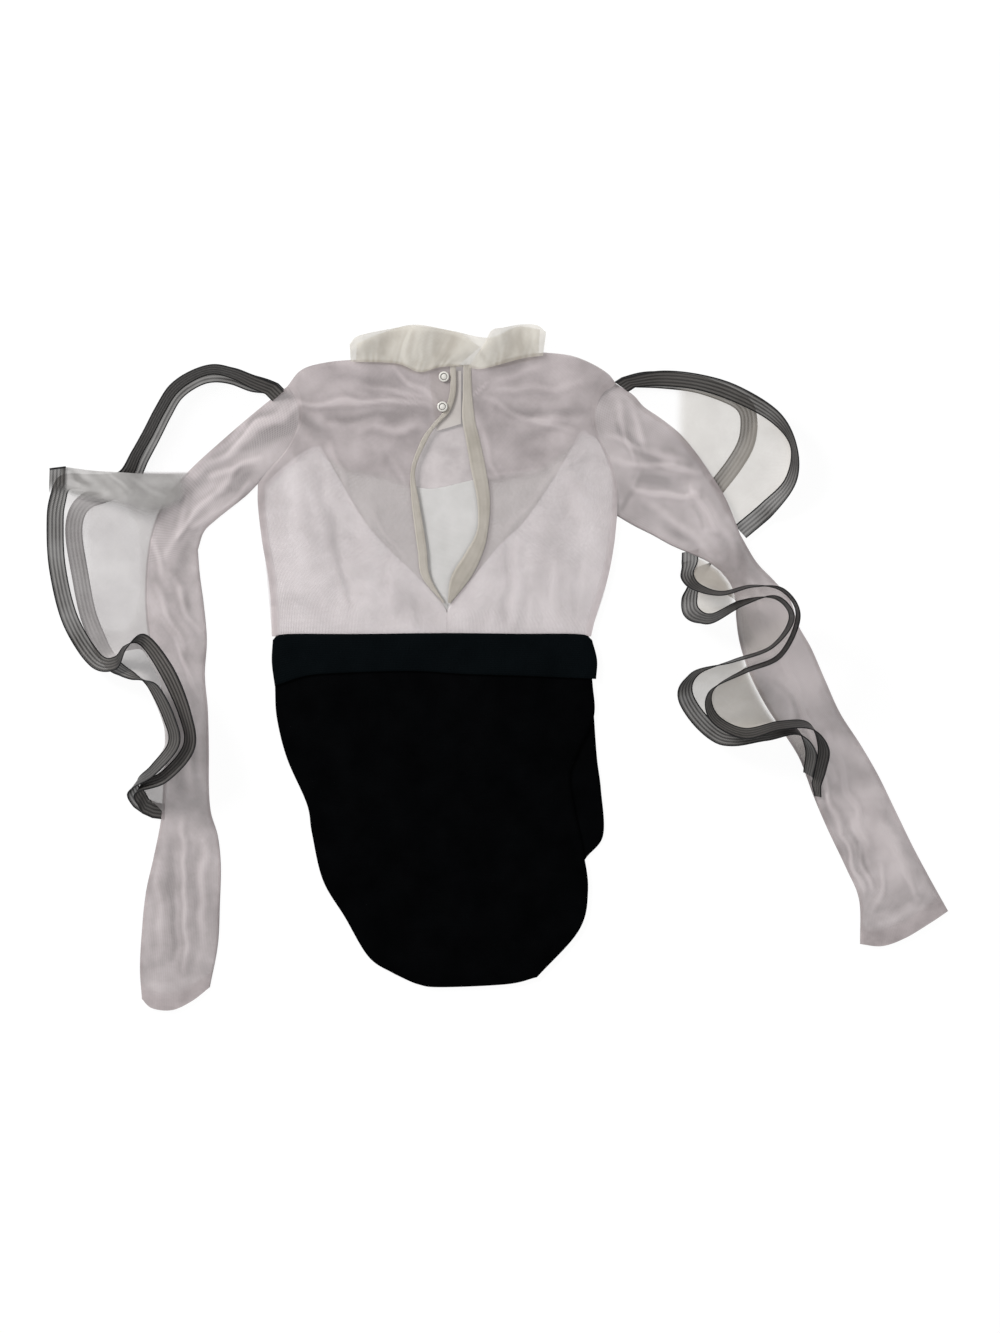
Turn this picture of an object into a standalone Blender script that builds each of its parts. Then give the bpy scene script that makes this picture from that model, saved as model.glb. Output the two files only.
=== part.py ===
"""Long-sleeved leotard laid out flat on a table with its back upward.

Every cloth panel is a closed wall between its own seam lines. The lowest panels rest on the table,
the linings lie on them and the back panels lie on top. Each sleeve carries two flounces, one over the
other, and each flounce ends in a stiff ribbed braid that holds it in waves.

Plan positions in the tables are millimetres across and down the table, seen from above. Heights are
millimetres above the table.
"""

import math
from collections import namedtuple

import bmesh
import bpy
from mathutils import Matrix, Vector

MM = 0.001

# Cloth and seams
CLOTH = 1.0
BINDING = 1.5
HEM = 0.5
BRAID_WALL = 1.5
BRAID_WIDTH = 16.0
KNIT = 1.5
BAND_WALL = 2.4
GAP = 0.3
BRAID_GAP = 0.45
INSET = 0.2

# Heights of the layers where they meet at the side seams
FRONT_LINING_Z = CLOTH + GAP
BACK_LINING_Z = FRONT_LINING_Z + CLOTH + GAP
BACK_MESH_Z = BACK_LINING_Z + CLOTH + GAP
BACK_KNIT_Z = KNIT + GAP
BACK_BAND_Z = BAND_WALL + GAP

# How far the upper panels puff up between their seams
TORSO_PUFF = 0.8
SLEEVE_PUFF = 2.6
BRIEF_PUFF = 1.2

# The right sleeve is held up where both of its flounces pass under the elbow
ELBOW_LIFT = 6.5
ELBOW_AT = 0.33
ELBOW_SPREAD = 0.17

# Feet of the flounce layers, and how strongly their cloth follows its direction at either end
OVER_FOOT_Z = 2.6
UNDER_SHIFT = 2.0
LEAVE_PULL = 1.1
ARRIVE_PULL = 0.5

# Buttons of the neck fastening
BUTTON_RADIUS = 5.2
BUTTON_HEIGHT = 2.0
BUTTON_RIM = 1.1

# Segments along and across the panels
TORSO_ROWS = 16
ARMHOLE_ROWS = 8
TORSO_COLUMNS = 8
UPPER_ARM_ROWS = 8
FOREARM_ROWS = 14
ROWS_PER_WAVE_ROW = 3
FLOUNCE_COLUMNS = 4

# Seam lines of the torso: x, y
ARMHOLE_LEFT = [(288, 386), (297, 402), (298, 425), (286, 450), (268, 471), (258, 484)]
SIDE_LEFT = [(258, 484), (258, 505), (262, 540), (268, 575), (271, 605), (272, 633)]
SHOULDER_LEFT = [(288, 386), (300, 371), (318, 364), (350, 360)]
NECK_LEFT = [(350, 360), (396, 361), (419, 370), (436, 366), (450, 364)]
ARMHOLE_RIGHT = [(616, 384), (601, 396), (595, 416), (599, 437), (610, 460), (617, 486), (617, 516)]
SIDE_RIGHT = [(617, 516), (614, 545), (608, 577), (599, 606), (591, 633)]
NECK_RIGHT = [(471, 366), (484, 368), (500, 362), (522, 356), (544, 353)]
SHOULDER_RIGHT = [(544, 353), (571, 356), (592, 364), (608, 374), (616, 384)]
WAIST_Y = 633
CENTRE_X = 447

# Edges of the two bindings round the opening at the back of the neck
Opening = namedtuple("Opening", "y left_outer left_inner right_inner right_outer")
OPENING = [
    Opening(365, 450.0, 460.0, 463.5, 471.0),
    Opening(392, 450.0, 460.0, 463.0, 472.0),
    Opening(412, 443.0, 454.0, 462.0, 474.0),
    Opening(425, 432.0, 441.0, 463.0, 476.0),
    Opening(441, 421.0, 431.0, 466.0, 480.0),
    Opening(470, 411.0, 418.5, 471.0, 486.0),
    Opening(500, 411.5, 424.0, 477.0, 490.0),
    Opening(530, 415.0, 430.0, 477.0, 488.0),
    Opening(552, 418.0, 433.0, 466.0, 483.0),
    Opening(577, 422.0, 435.0, 451.0, 471.0),
    Opening(603, 443.0, 446.3, 447.7, 451.0),
]

# Linings: the deep V of the back and the level top of the front
LINING_LEFT_OUTER = [(315, 446), (300, 454), (280, 470), (262, 490), (260, 512), (264, 547), (272, 633)]
LINING_LEFT_INNER = [(321, 447), (350, 497), (369, 527), (392, 552), (415, 574), (436, 597), (445, 612),
                     (446.3, 633)]
LINING_RIGHT_OUTER = [(586, 431), (598, 441), (609, 465), (615, 490), (616, 516), (608, 577), (591, 633)]
LINING_RIGHT_INNER = [(580, 432), (559, 470), (543, 495), (523, 523), (500, 545), (474, 576), (455, 597),
                      (449, 612), (447.7, 633)]
FRONT_LINING_TOP = [(315, 448), (345, 469), (383, 476), (425, 491), (471, 483), (507, 477), (545, 468),
                    (585, 434)]

# Waistband and brief
BAND_TOP = [(273, 640), (285, 634.3), (355, 634.2), (446, 633.3), (520, 634), (580, 634.3), (592, 640)]
BAND_BOTTOM = [(275, 686), (306, 676), (340, 673), (412, 671), (464, 674), (527, 676), (596, 679)]
BAND_LEFT = [(273, 640), (272, 662), (275, 686)]
BAND_RIGHT = [(592, 640), (597, 660), (596, 679)]
BRIEF_TOP = [(275, 687), (306, 677), (340, 674), (412, 672), (464, 675), (527, 677), (592, 680)]
BRIEF_LEFT = [(275, 687), (277, 718), (287, 758), (307, 804), (312, 833), (323, 880), (345, 917), (369, 957),
              (395, 974)]
BRIEF_RIGHT = [(592, 680), (594, 716), (578, 752), (570, 775), (574, 807), (583, 850), (588, 890), (579, 930),
               (537, 977)]
HIP_RIGHT = [(592, 680), (594, 716), (597, 758), (601, 790), (603, 836), (584, 862), (588, 890), (579, 930),
             (537, 977)]
BRIEF_BOTTOM = [(395, 974), (418, 984), (441, 987), (507, 984), (537, 977)]

# Seams of the sleeves from the shoulder to the cuff
LEFT_OUTER = [(288, 386), (264, 405), (240, 425), (216, 446), (192, 468), (167, 496), (152, 530), (146, 565),
              (145, 600), (149, 640), (159, 677), (165, 715), (165, 750), (163, 790), (161, 820), (154, 856),
              (146, 892), (142, 930), (140, 968), (142, 999)]
LEFT_INNER = [(258, 484), (246, 496), (231, 508), (216, 520), (204, 532), (198, 550), (200, 575), (204, 605),
              (207, 640), (205, 675), (208, 710), (209, 750), (209, 785), (211, 812), (218, 836), (221, 866),
              (220, 905), (218, 945), (210, 987)]
# Rows of the outer and inner seam at the elbow
LEFT_ELBOW = (7, 5)
RIGHT_ELBOW = (8, 6)
LEFT_CUFF = [(142, 999), (152, 1008), (172, 1010), (192, 1001), (210, 987)]
RIGHT_OUTER = [(616, 384), (633, 395), (644, 407), (660, 418), (680, 434), (696, 453), (711, 475), (726, 500),
               (740, 535), (756, 562), (774, 581), (790, 600), (798, 625), (811, 648), (825, 680), (840, 713),
               (860, 744), (878, 775), (895, 810), (912, 845), (929, 877), (948, 911)]
RIGHT_INNER = [(617, 516), (634, 526), (652, 535), (670, 545), (688, 553), (706, 561), (720, 571), (730, 584),
               (735, 600), (736, 620), (740, 645), (750, 675), (766, 706), (785, 735), (800, 760), (813, 795),
               (827, 828), (846, 868), (859, 900), (860, 944)]
RIGHT_CUFF = [(948, 911), (930, 923), (905, 938), (882, 946), (860, 944)]

# Collar: the foot and the free edge of each ruffled stretch, with its wave count and wave height
Ruffle = namedtuple("Ruffle", "name foot edge waves swing rest")
RUFFLES = [
    Ruffle("collar_front",
           [(356, 359), (396, 362), (419, 370), (459, 363), (496, 364), (538, 355)],
           [(357, 344), (378, 335), (412, 325), (452, 331), (489, 338), (517, 327), (540, 330)],
           7.0, 1.6, 1.8),
    Ruffle("collar_back_left",
           [(351, 358), (396, 360), (419, 368.5), (438, 364), (458, 362)],
           [(350, 345), (358, 337), (382, 331), (407, 327), (432, 328), (459, 334), (480, 348)],
           5.0, 2.6, 6.6),
    Ruffle("collar_back_right",
           [(468, 364), (480, 365.5), (496, 362), (522, 355), (543, 352)],
           [(485, 343), (492, 331), (504, 328), (521, 325), (537, 326), (546, 333)],
           3.0, 2.4, 6.6),
]

# Buttons: middle, and the cloth that lies between each one and the foot of the back mesh
Button = namedtuple("Button", "name x y below")
BUTTONS = [
    Button("button_upper", 444.0, 377.0, CLOTH + 0.15),
    Button("button_lower", 442.5, 407.0, BINDING),
]

# Soft ridges in the cloth: from one end to the other, with half width and height
Ridge = namedtuple("Ridge", "x1 y1 x2 y2 width height")
TORSO_RIDGES = [
    Ridge(300, 402, 432, 420, 9, 1.9),
    Ridge(322, 377, 436, 398, 8, 1.3),
    Ridge(330, 470, 352, 600, 12, 1.6),
    Ridge(385, 560, 372, 628, 10, 1.3),
    Ridge(478, 394, 530, 369, 8, 1.6),
    Ridge(484, 428, 585, 424, 10, 1.5),
    Ridge(560, 480, 548, 620, 12, 1.6),
    Ridge(512, 545, 505, 622, 10, 1.3),
]
LEFT_RIDGES = [
    Ridge(290, 420, 186, 540, 9, 3.2),
    Ridge(262, 458, 200, 512, 8, 2.6),
    Ridge(160, 600, 200, 668, 8, 2.8),
    Ridge(186, 700, 190, 800, 9, 2.2),
    Ridge(182, 830, 186, 960, 9, 2.4),
    Ridge(203, 845, 200, 930, 7, 2.0),
]
RIGHT_RIDGES = [
    Ridge(622, 440, 700, 480, 9, 3.0),
    Ridge(650, 500, 716, 548, 9, 2.6),
    Ridge(748, 652, 802, 738, 8, 2.8),
    Ridge(800, 735, 842, 802, 8, 2.4),
    Ridge(846, 815, 876, 880, 9, 2.4),
    Ridge(880, 850, 912, 912, 9, 2.0),
]

# Flounce rows: where the row leaves the seam (0 to 1), the braid's inner edge and its height,
# where its outer edge lies in plan, and how steeply the cloth leaves the seam in degrees
Wave = namedtuple("Wave", "seam x y z out_x out_y steep")
LEFT_SEAM = [(284, 388), (264, 404), (240, 424), (216, 445), (192, 467), (166, 496), (151, 530), (145, 565),
             (144, 600), (148, 640), (158, 677), (164, 715), (164, 750), (162, 790), (160.5, 812)]
LEFT_OVER = [
    Wave(0.000, 276, 386, 4, 271, 375, 10),
    Wave(0.065, 245, 383, 6, 249, 372, 15),
    Wave(0.120, 213, 378, 9, 212, 366, 15),
    Wave(0.165, 184, 391, 10, 175, 383, 15),
    Wave(0.210, 164, 420, 8, 154, 415, 12),
    Wave(0.270, 138, 462, 5, 126, 452, 8),
    Wave(0.320, 108, 488, 3, 96, 477, 4),
    Wave(0.355, 80, 488, 4, 71, 474, 6),
    Wave(0.390, 66, 494, 8, 50, 484, 10),
    Wave(0.445, 64, 522, 10, 48, 521, 12),
    Wave(0.510, 66, 566, 10, 50, 571, 12),
    Wave(0.577, 78, 616, 9, 63, 624, 12),
    Wave(0.628, 101, 654, 9, 92, 666, 18),
    Wave(0.650, 116, 657, 17, 118, 669, 40),
    Wave(0.668, 127, 646, 29, 130, 648, 65),
    Wave(0.687, 143, 645, 39, 149, 635, 85),
    Wave(0.730, 164, 675, 46, 176, 667, 90),
    Wave(0.800, 182, 715, 44, 194, 712, 90),
    Wave(0.855, 186, 744, 38, 197, 749, 88),
    Wave(0.905, 164, 771, 25, 169, 781, 75),
    Wave(0.950, 142, 783, 10, 136, 794, 25),
    Wave(1.000, 153, 803, 3.2, 148, 816, 5),
]
LEFT_UNDER = [
    Wave(0.000, 275, 387, 1, 270, 372, 0),
    Wave(0.070, 240, 388, 1, 243, 372, 0),
    Wave(0.125, 211, 385, 1, 209, 369, 0),
    Wave(0.170, 189, 398, 1, 177, 388, 0),
    Wave(0.215, 169, 426, 1, 156, 418, 0),
    Wave(0.265, 148, 463, 1, 135, 454, 0),
    Wave(0.320, 118, 496, 1, 107, 484, 0),
    Wave(0.350, 98, 502, 1, 84, 494, 0),
    Wave(0.385, 84, 512, 1, 69, 505, 0),
    Wave(0.440, 82, 535, 1, 66, 535, 0),
    Wave(0.510, 87, 568, 1, 71, 573, 0),
    Wave(0.580, 95, 610, 1, 81, 618, 0),
    Wave(0.630, 107, 641, 1, 97, 653, 2),
    Wave(0.648, 113, 652, 4, 107, 665, 8),
    Wave(0.664, 120, 661, 12, 119, 674, 34),
    Wave(0.681, 129, 668, 23, 133, 679, 55),
    Wave(0.698, 138, 674, 33, 145, 680, 74),
    Wave(0.735, 152, 688, 45, 162, 686, 88),
    Wave(0.800, 167, 719, 47, 178, 716, 90),
    Wave(0.855, 171, 742, 40, 182, 745, 88),
    Wave(0.905, 153, 765, 24, 156, 775, 74),
    Wave(0.950, 138, 782, 5, 129, 793, 18),
    Wave(1.000, 152, 806, 0.8, 147, 819, 0),
]
RIGHT_SEAM = [(617.4, 383.3), (634.8, 393.2), (646.2, 405), (661.4, 416.6), (680.6, 433.4), (696.6, 452.4),
              (711.7, 474.5), (727, 499.5), (741, 534.5), (745, 560), (737, 582), (731, 601), (732, 621),
              (736, 646), (746, 677), (762, 708), (781, 738), (796, 763), (809, 796)]
RIGHT_OVER_ARC = [
    Wave(0.000, 629, 382, 4, 628, 369, 10),
    Wave(0.045, 660, 387, 7, 661, 373, 15),
    Wave(0.090, 697, 390, 10, 701, 376, 18),
    Wave(0.140, 734, 403, 12, 740, 390, 18),
    Wave(0.185, 770, 422, 13, 778, 414, 18),
    Wave(0.225, 790, 447, 11, 795, 447, 15),
    Wave(0.265, 785, 479, 8, 795, 482, 12),
    Wave(0.310, 762, 503, 4, 773, 514, 4),
    Wave(0.355, 735, 526, 2.6, 746, 538, 1),
]
RIGHT_UNDER_ARC = [
    Wave(0.020, 640, 387, 1, 639, 371, 0),
    Wave(0.045, 661, 391, 1, 662, 375, 0),
    Wave(0.090, 696, 397, 1, 699, 381, 0),
    Wave(0.135, 726, 409, 1, 735, 396, 0),
    Wave(0.170, 744, 427, 1, 758, 420, 0),
    Wave(0.205, 741, 449, 1, 756, 455, 0),
    Wave(0.245, 727, 474, 1, 739, 484, 0),
    Wave(0.280, 713, 491, 1, 724, 503, 0),
]
RIGHT_OVER_WAVE = [
    Wave(0.445, 698, 549, 2.6, 681, 553, 1),
    Wave(0.475, 697, 562, 2.6, 682, 566, 1),
    Wave(0.505, 693, 574, 7, 681, 579, 6),
    Wave(0.535, 700, 585, 18, 692, 590, 18),
    Wave(0.562, 720, 592, 37, 719, 596, 60),
    Wave(0.578, 750, 586, 49, 750, 588, 86),
    Wave(0.592, 779, 592, 52, 780, 590, 90),
    Wave(0.612, 793, 616, 53, 796, 617, 90),
    Wave(0.652, 776, 654, 51, 778, 657, 90),
    Wave(0.695, 741, 670, 46, 742, 673, 85),
    Wave(0.745, 712, 690, 33, 707, 692, 55),
    Wave(0.790, 716, 714, 23, 709, 720, 40),
    Wave(0.825, 743, 728, 29, 742, 738, 60),
    Wave(0.850, 777, 721, 35, 778, 729, 85),
    Wave(0.885, 806, 722, 28, 810, 729, 88),
    Wave(0.935, 817, 745, 18, 827, 749, 80),
    Wave(1.000, 814, 772, 9, 823, 776, 45),
]
RIGHT_UNDER_WAVE = [
    Wave(0.455, 712, 562, 1, 697, 567, 0),
    Wave(0.485, 701, 580, 1, 687, 588, 0),
    Wave(0.515, 697, 595, 2, 682, 600, 0),
    Wave(0.545, 698, 608, 8, 688, 615, 14),
    Wave(0.570, 711, 614, 22, 708, 624, 50),
    Wave(0.590, 739, 601, 42, 741, 606, 82),
    Wave(0.607, 771, 599, 53, 773, 597, 90),
    Wave(0.625, 786, 618, 57, 790, 619, 90),
    Wave(0.660, 768, 646, 55, 769, 648, 90),
    Wave(0.700, 731, 660, 44, 731, 662, 84),
    Wave(0.750, 697, 675, 24, 690, 673, 45),
    Wave(0.800, 694, 698, 9, 682, 703, 18),
    Wave(0.845, 724, 731, 12, 719, 743, 30),
    Wave(0.872, 762, 731, 28, 763, 740, 80),
    Wave(0.900, 792, 727, 31, 796, 734, 88),
    Wave(0.940, 804, 748, 22, 814, 752, 80),
    Wave(1.000, 803, 772, 12, 811, 777, 45),
]

COLORS = {
    "mesh": (0.80, 0.76, 0.77, 1.0),
    "lining": (0.90, 0.89, 0.88, 1.0),
    "binding": (0.66, 0.62, 0.54, 1.0),
    "ruffle": (0.79, 0.77, 0.69, 1.0),
    "button": (0.85, 0.83, 0.79, 1.0),
    "knit": (0.010, 0.012, 0.014, 1.0),
    "band": (0.016, 0.022, 0.027, 1.0),
    "braid": (0.16, 0.16, 0.17, 1.0),
}


def between(a, b, t):
    """Point a fraction t of the way from a to b."""
    return tuple(p + (q - p) * t for p, q in zip(a, b))


def smooth(t):
    """Ease from 0 to 1 with level ends."""
    t = min(max(t, 0.0), 1.0)
    return t * t * (3.0 - 2.0 * t)


def on_curve(rows, t):
    """Point at row position t on a smooth curve through the rows."""
    last = len(rows) - 1
    i = min(int(t), last - 1)
    f = t - i
    b, c = rows[i], rows[i + 1]
    a = rows[i - 1] if i > 0 else between(c, b, 2.0)
    d = rows[i + 2] if i + 2 <= last else between(b, c, 2.0)
    return tuple(
        0.5 * (2.0 * q + (r - p) * f + (2.0 * p - 5.0 * q + 4.0 * r - s) * f * f
               + (3.0 * q - p - 3.0 * r + s) * f ** 3)
        for p, q, r, s in zip(a, b, c, d)
    )


def spaced(rows, count):
    """Points evenly spaced by length along the curve through the rows, count segments in all."""
    fine = 12 * (len(rows) - 1)
    points = [on_curve(rows, (len(rows) - 1) * k / fine) for k in range(fine + 1)]
    reach = [0.0]
    for p, q in zip(points, points[1:]):
        reach.append(reach[-1] + math.dist(p, q))
    result = []
    k = 0
    for n in range(count + 1):
        target = reach[-1] * n / count
        while k < fine - 1 and reach[k + 1] < target:
            k += 1
        step = reach[k + 1] - reach[k]
        result.append(between(points[k], points[k + 1], (target - reach[k]) / step))
    return result


def patch(top, bottom, left, right, hold=1.0):
    """Plan grid that fills the outline of four seam lines, with its edges drawn in by the inset.

    The bow of the top and bottom lines fades into the panel, faster where hold is larger.
    """
    rows, columns = len(left) - 1, len(top) - 1
    grid = []
    for r in range(rows + 1):
        v = r / rows
        line = []
        for c in range(columns + 1):
            u = c / columns
            across = between(left[r], right[r], u)
            first = between(top[0], top[-1], u)
            final = between(bottom[0], bottom[-1], u)
            fade, grow = (1.0 - v) ** hold, v ** hold
            line.append(tuple(
                across[k] + (top[c][k] - first[k]) * fade + (bottom[c][k] - final[k]) * grow
                for k in (0, 1)
            ))
        grid.append(line)
    drawn = [list(line) for line in grid]
    for r in range(rows + 1):
        for c, n in ((0, 1), (columns, columns - 1)):
            drawn[r][c] = towards(drawn[r][c], grid[r][n])
    for c in range(columns + 1):
        for r, n in ((0, 1), (rows, rows - 1)):
            drawn[r][c] = towards(drawn[r][c], grid[n][c])
    return drawn


def towards(point, other):
    """Point moved by the inset towards another."""
    return between(point, other, INSET / max(math.dist(point, other), 1e-6))


def ridge_height(ridges, x, y):
    """Height of all the soft ridges at a plan position."""
    total = 0.0
    for ridge in ridges:
        dx, dy = ridge.x2 - ridge.x1, ridge.y2 - ridge.y1
        t = ((x - ridge.x1) * dx + (y - ridge.y1) * dy) / (dx * dx + dy * dy)
        t = min(max(t, 0.0), 1.0)
        away = math.dist((x, y), (ridge.x1 + t * dx, ridge.y1 + t * dy)) / ridge.width
        total += ridge.height * math.exp(-away * away)
    return total


def inside(u, v):
    """Envelope that is 0 on the edges of a panel and 1 in its middle."""
    return (1.0 - (2.0 * u - 1.0) ** 6) * (1.0 - (2.0 * v - 1.0) ** 8)


def material(name, color):
    """Own Principled material of a part."""
    made = bpy.data.materials.new(name)
    made.use_nodes = True
    shader = made.node_tree.nodes["Principled BSDF"]
    shader.inputs["Base Color"].default_value = color
    shader.inputs["Roughness"].default_value = 0.8
    return made


def finish(name, bm, look):
    """Turn a bmesh in millimetres into a named part of the leotard."""
    bmesh.ops.recalc_face_normals(bm, faces=bm.faces[:])
    mesh = bpy.data.meshes.new(name)
    bm.to_mesh(mesh)
    bm.free()
    mesh.transform(Matrix.Diagonal((MM, -MM, MM, 1.0)))
    mesh.flip_normals()
    mesh.shade_smooth()
    mesh.set_sharp_from_angle(angle=math.radians(50.0))
    mesh.materials.append(material(name, COLORS[look]))
    part = bpy.data.objects.new(name, mesh)
    garment.objects.link(part)
    return part


def wall(name, low, high, look):
    """Closed wall between two grids of points, low and high."""
    rows, columns = len(low) - 1, len(low[0]) - 1
    bm = bmesh.new()
    bmesh.ops.create_grid(bm, x_segments=columns, y_segments=rows, size=1.0)
    sheet = bm.verts[:] + bm.edges[:] + bm.faces[:]
    made = bmesh.ops.extrude_face_region(bm, geom=sheet, use_keep_orig=True)["geom"]
    raised = {item for item in made if isinstance(item, bmesh.types.BMVert)}
    for vert in bm.verts:
        c = round((vert.co.x + 1.0) * 0.5 * columns)
        r = round((vert.co.y + 1.0) * 0.5 * rows)
        source = high if vert in raised else low
        vert.co = Vector(source[r][c])
    return finish(name, bm, look)


def panel(name, grid, height, thickness, look):
    """Wall over a plan grid, with its underside and thickness given as functions of x, y, u and v."""
    rows, columns = len(grid) - 1, len(grid[0]) - 1
    low, high = [], []
    for r, line in enumerate(grid):
        low.append([])
        high.append([])
        for c, (x, y) in enumerate(line):
            u, v = c / columns, r / rows
            z = height(x, y, u, v)
            low[-1].append((x, y, z))
            high[-1].append((x, y, z + thickness(x, y, u, v)))
    return wall(name, low, high, look)


def flat(value):
    """Height or thickness that is the same all over."""
    return lambda x, y, u, v: value


def torso():
    """Front and back mesh, the linings and the bindings of the back opening."""
    count = TORSO_ROWS
    left = spaced(ARMHOLE_LEFT, ARMHOLE_ROWS) + spaced(SIDE_LEFT, count - ARMHOLE_ROWS)[1:]
    right = spaced(ARMHOLE_RIGHT, ARMHOLE_ROWS) + spaced(SIDE_RIGHT, count - ARMHOLE_ROWS)[1:]
    slit = count - 2
    left_outer = spaced([(row.left_outer, row.y) for row in OPENING], slit)
    left_inner = spaced([(row.left_inner, row.y) for row in OPENING], slit)
    right_inner = spaced([(row.right_inner, row.y) for row in OPENING], slit)
    right_outer = spaced([(row.right_outer, row.y) for row in OPENING], slit)
    closure_left = left_outer + [(CENTRE_X, 613), (CENTRE_X, WAIST_Y)]
    closure_right = right_outer + [(CENTRE_X, 613), (CENTRE_X, WAIST_Y)]
    half = TORSO_COLUMNS

    def top_line(shoulder, neck):
        return spaced(shoulder, half // 2) + spaced(neck, half // 2)[1:]

    top_left = top_line(SHOULDER_LEFT, NECK_LEFT)
    top_right = top_line(NECK_RIGHT, SHOULDER_RIGHT)
    waist_left = spaced([left[-1], closure_left[-1]], half)
    waist_right = spaced([closure_right[-1], right[-1]], half)

    def back_height(x, y, u, v):
        puff = TORSO_PUFF + ridge_height(TORSO_RIDGES, x, y)
        return BACK_MESH_Z + inside(u, v) * puff

    back_left = patch(top_left, waist_left, left, closure_left)
    back_right = patch(top_right, waist_right, closure_right, right)
    panel("back_mesh_left", back_left, back_height, flat(CLOTH), "mesh")
    panel("back_mesh_right", back_right, back_height, flat(CLOTH), "mesh")

    whole_top = spaced(SHOULDER_LEFT + NECK_LEFT[1:] + NECK_RIGHT + SHOULDER_RIGHT[1:], half)
    whole_waist = spaced([left[-1], right[-1]], half)
    panel("front_mesh", patch(whole_top, whole_waist, left, right), flat(0.0), flat(CLOTH), "mesh")

    rows = 12
    lining_left = patch(
        spaced([LINING_LEFT_OUTER[0], LINING_LEFT_INNER[0]], 5),
        spaced([LINING_LEFT_OUTER[-1], LINING_LEFT_INNER[-1]], 5),
        spaced(LINING_LEFT_OUTER, rows), spaced(LINING_LEFT_INNER, rows))
    lining_right = patch(
        spaced([LINING_RIGHT_INNER[0], LINING_RIGHT_OUTER[0]], 5),
        spaced([LINING_RIGHT_INNER[-1], LINING_RIGHT_OUTER[-1]], 5),
        spaced(LINING_RIGHT_INNER, rows), spaced(LINING_RIGHT_OUTER, rows))
    panel("back_lining_left", lining_left, flat(BACK_LINING_Z), flat(CLOTH), "lining")
    panel("back_lining_right", lining_right, flat(BACK_LINING_Z), flat(CLOTH), "lining")
    front = patch(
        spaced(FRONT_LINING_TOP, 10),
        spaced([LINING_LEFT_OUTER[-1], LINING_RIGHT_OUTER[-1]], 10),
        spaced(LINING_LEFT_OUTER, 10), spaced(LINING_RIGHT_OUTER, 10))
    panel("front_lining", front, flat(FRONT_LINING_Z), flat(CLOTH), "lining")

    def strip(outer, inner):
        return patch([outer[0], inner[0]], [outer[-1], inner[-1]], outer, inner)

    left_strip = strip(left_outer, left_inner)
    right_strip = strip(right_inner, right_outer)
    panel("binding_left", left_strip, flat(BACK_MESH_Z), flat(BINDING), "binding")
    panel("binding_right", right_strip, flat(BACK_MESH_Z), flat(BINDING), "binding")


def neck():
    """Ruffled collar in three stretches, the button tab and its two buttons."""
    for ruffle in RUFFLES:
        columns = round(ruffle.waves * 4)
        depth = 3
        foot, edge = spaced(ruffle.foot, columns), spaced(ruffle.edge, columns)
        grid = [[between(foot[c], edge[c], r / depth) for c in range(columns + 1)] for r in range(depth + 1)]

        def wave(x, y, u, v, ruffle=ruffle):
            swell = math.sin(2.0 * math.pi * ruffle.waves * u)
            return ruffle.rest + ruffle.swing * smooth(v * 1.4) * (1.0 + swell)

        panel(ruffle.name, grid, wave, flat(CLOTH), "ruffle")

    tab = patch(
        spaced([(430, 373), (461, 371)], 2), spaced([(437, 431), (461, 424)], 2),
        spaced([(430, 373), (432, 400), (437, 431)], 4), spaced([(461, 371), (461, 395), (461, 424)], 4))
    panel("button_tab", tab, flat(BACK_MESH_Z - GAP - CLOTH), flat(CLOTH), "binding")
    for button in BUTTONS:
        bm = bmesh.new()
        seat = BACK_MESH_Z + button.below + GAP
        bmesh.ops.create_cone(
            bm, cap_ends=True, segments=20, radius1=BUTTON_RADIUS, radius2=BUTTON_RADIUS, depth=BUTTON_HEIGHT,
            matrix=Matrix.Translation((button.x, button.y, seat + BUTTON_HEIGHT / 2.0)))
        upper = max(bm.faces, key=lambda face: face.calc_center_median().z)
        bmesh.ops.inset_individual(bm, faces=[upper], thickness=BUTTON_RIM, depth=0.0)
        bmesh.ops.inset_individual(bm, faces=[upper], thickness=0.5, depth=-0.6)
        finish(button.name, bm, "button")


def brief():
    """Fold-over waistband and the brief, front and back."""
    columns = 12
    band = patch(
        spaced(BAND_TOP, columns), spaced(BAND_BOTTOM, columns),
        spaced(BAND_LEFT, 3), spaced(BAND_RIGHT, 3))
    panel("waistband_front", band, flat(0.0), flat(BAND_WALL), "band")

    def band_height(x, y, u, v):
        return BACK_BAND_Z + 0.5 * inside(u, v)

    panel("waistband_back", band, band_height, flat(BAND_WALL), "band")

    def knit_height(x, y, u, v):
        edge = math.exp(-((min(u, 1.0 - u) / 0.05) ** 2)) * smooth((v - 0.6) / 0.3)
        return BACK_KNIT_Z + BRIEF_PUFF * inside(u, v) + 0.8 * edge

    rows = 13
    bottom = spaced(BRIEF_BOTTOM, 8)
    top = spaced(BRIEF_TOP, 8)
    left = spaced(BRIEF_LEFT, rows)
    back = patch(top, bottom, left, spaced(BRIEF_RIGHT, rows))
    front = patch(top, bottom, left, spaced(HIP_RIGHT, rows))
    panel("brief_back", back, knit_height, flat(KNIT), "knit")
    panel("brief_front", front, flat(0.0), flat(KNIT), "knit")


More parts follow.
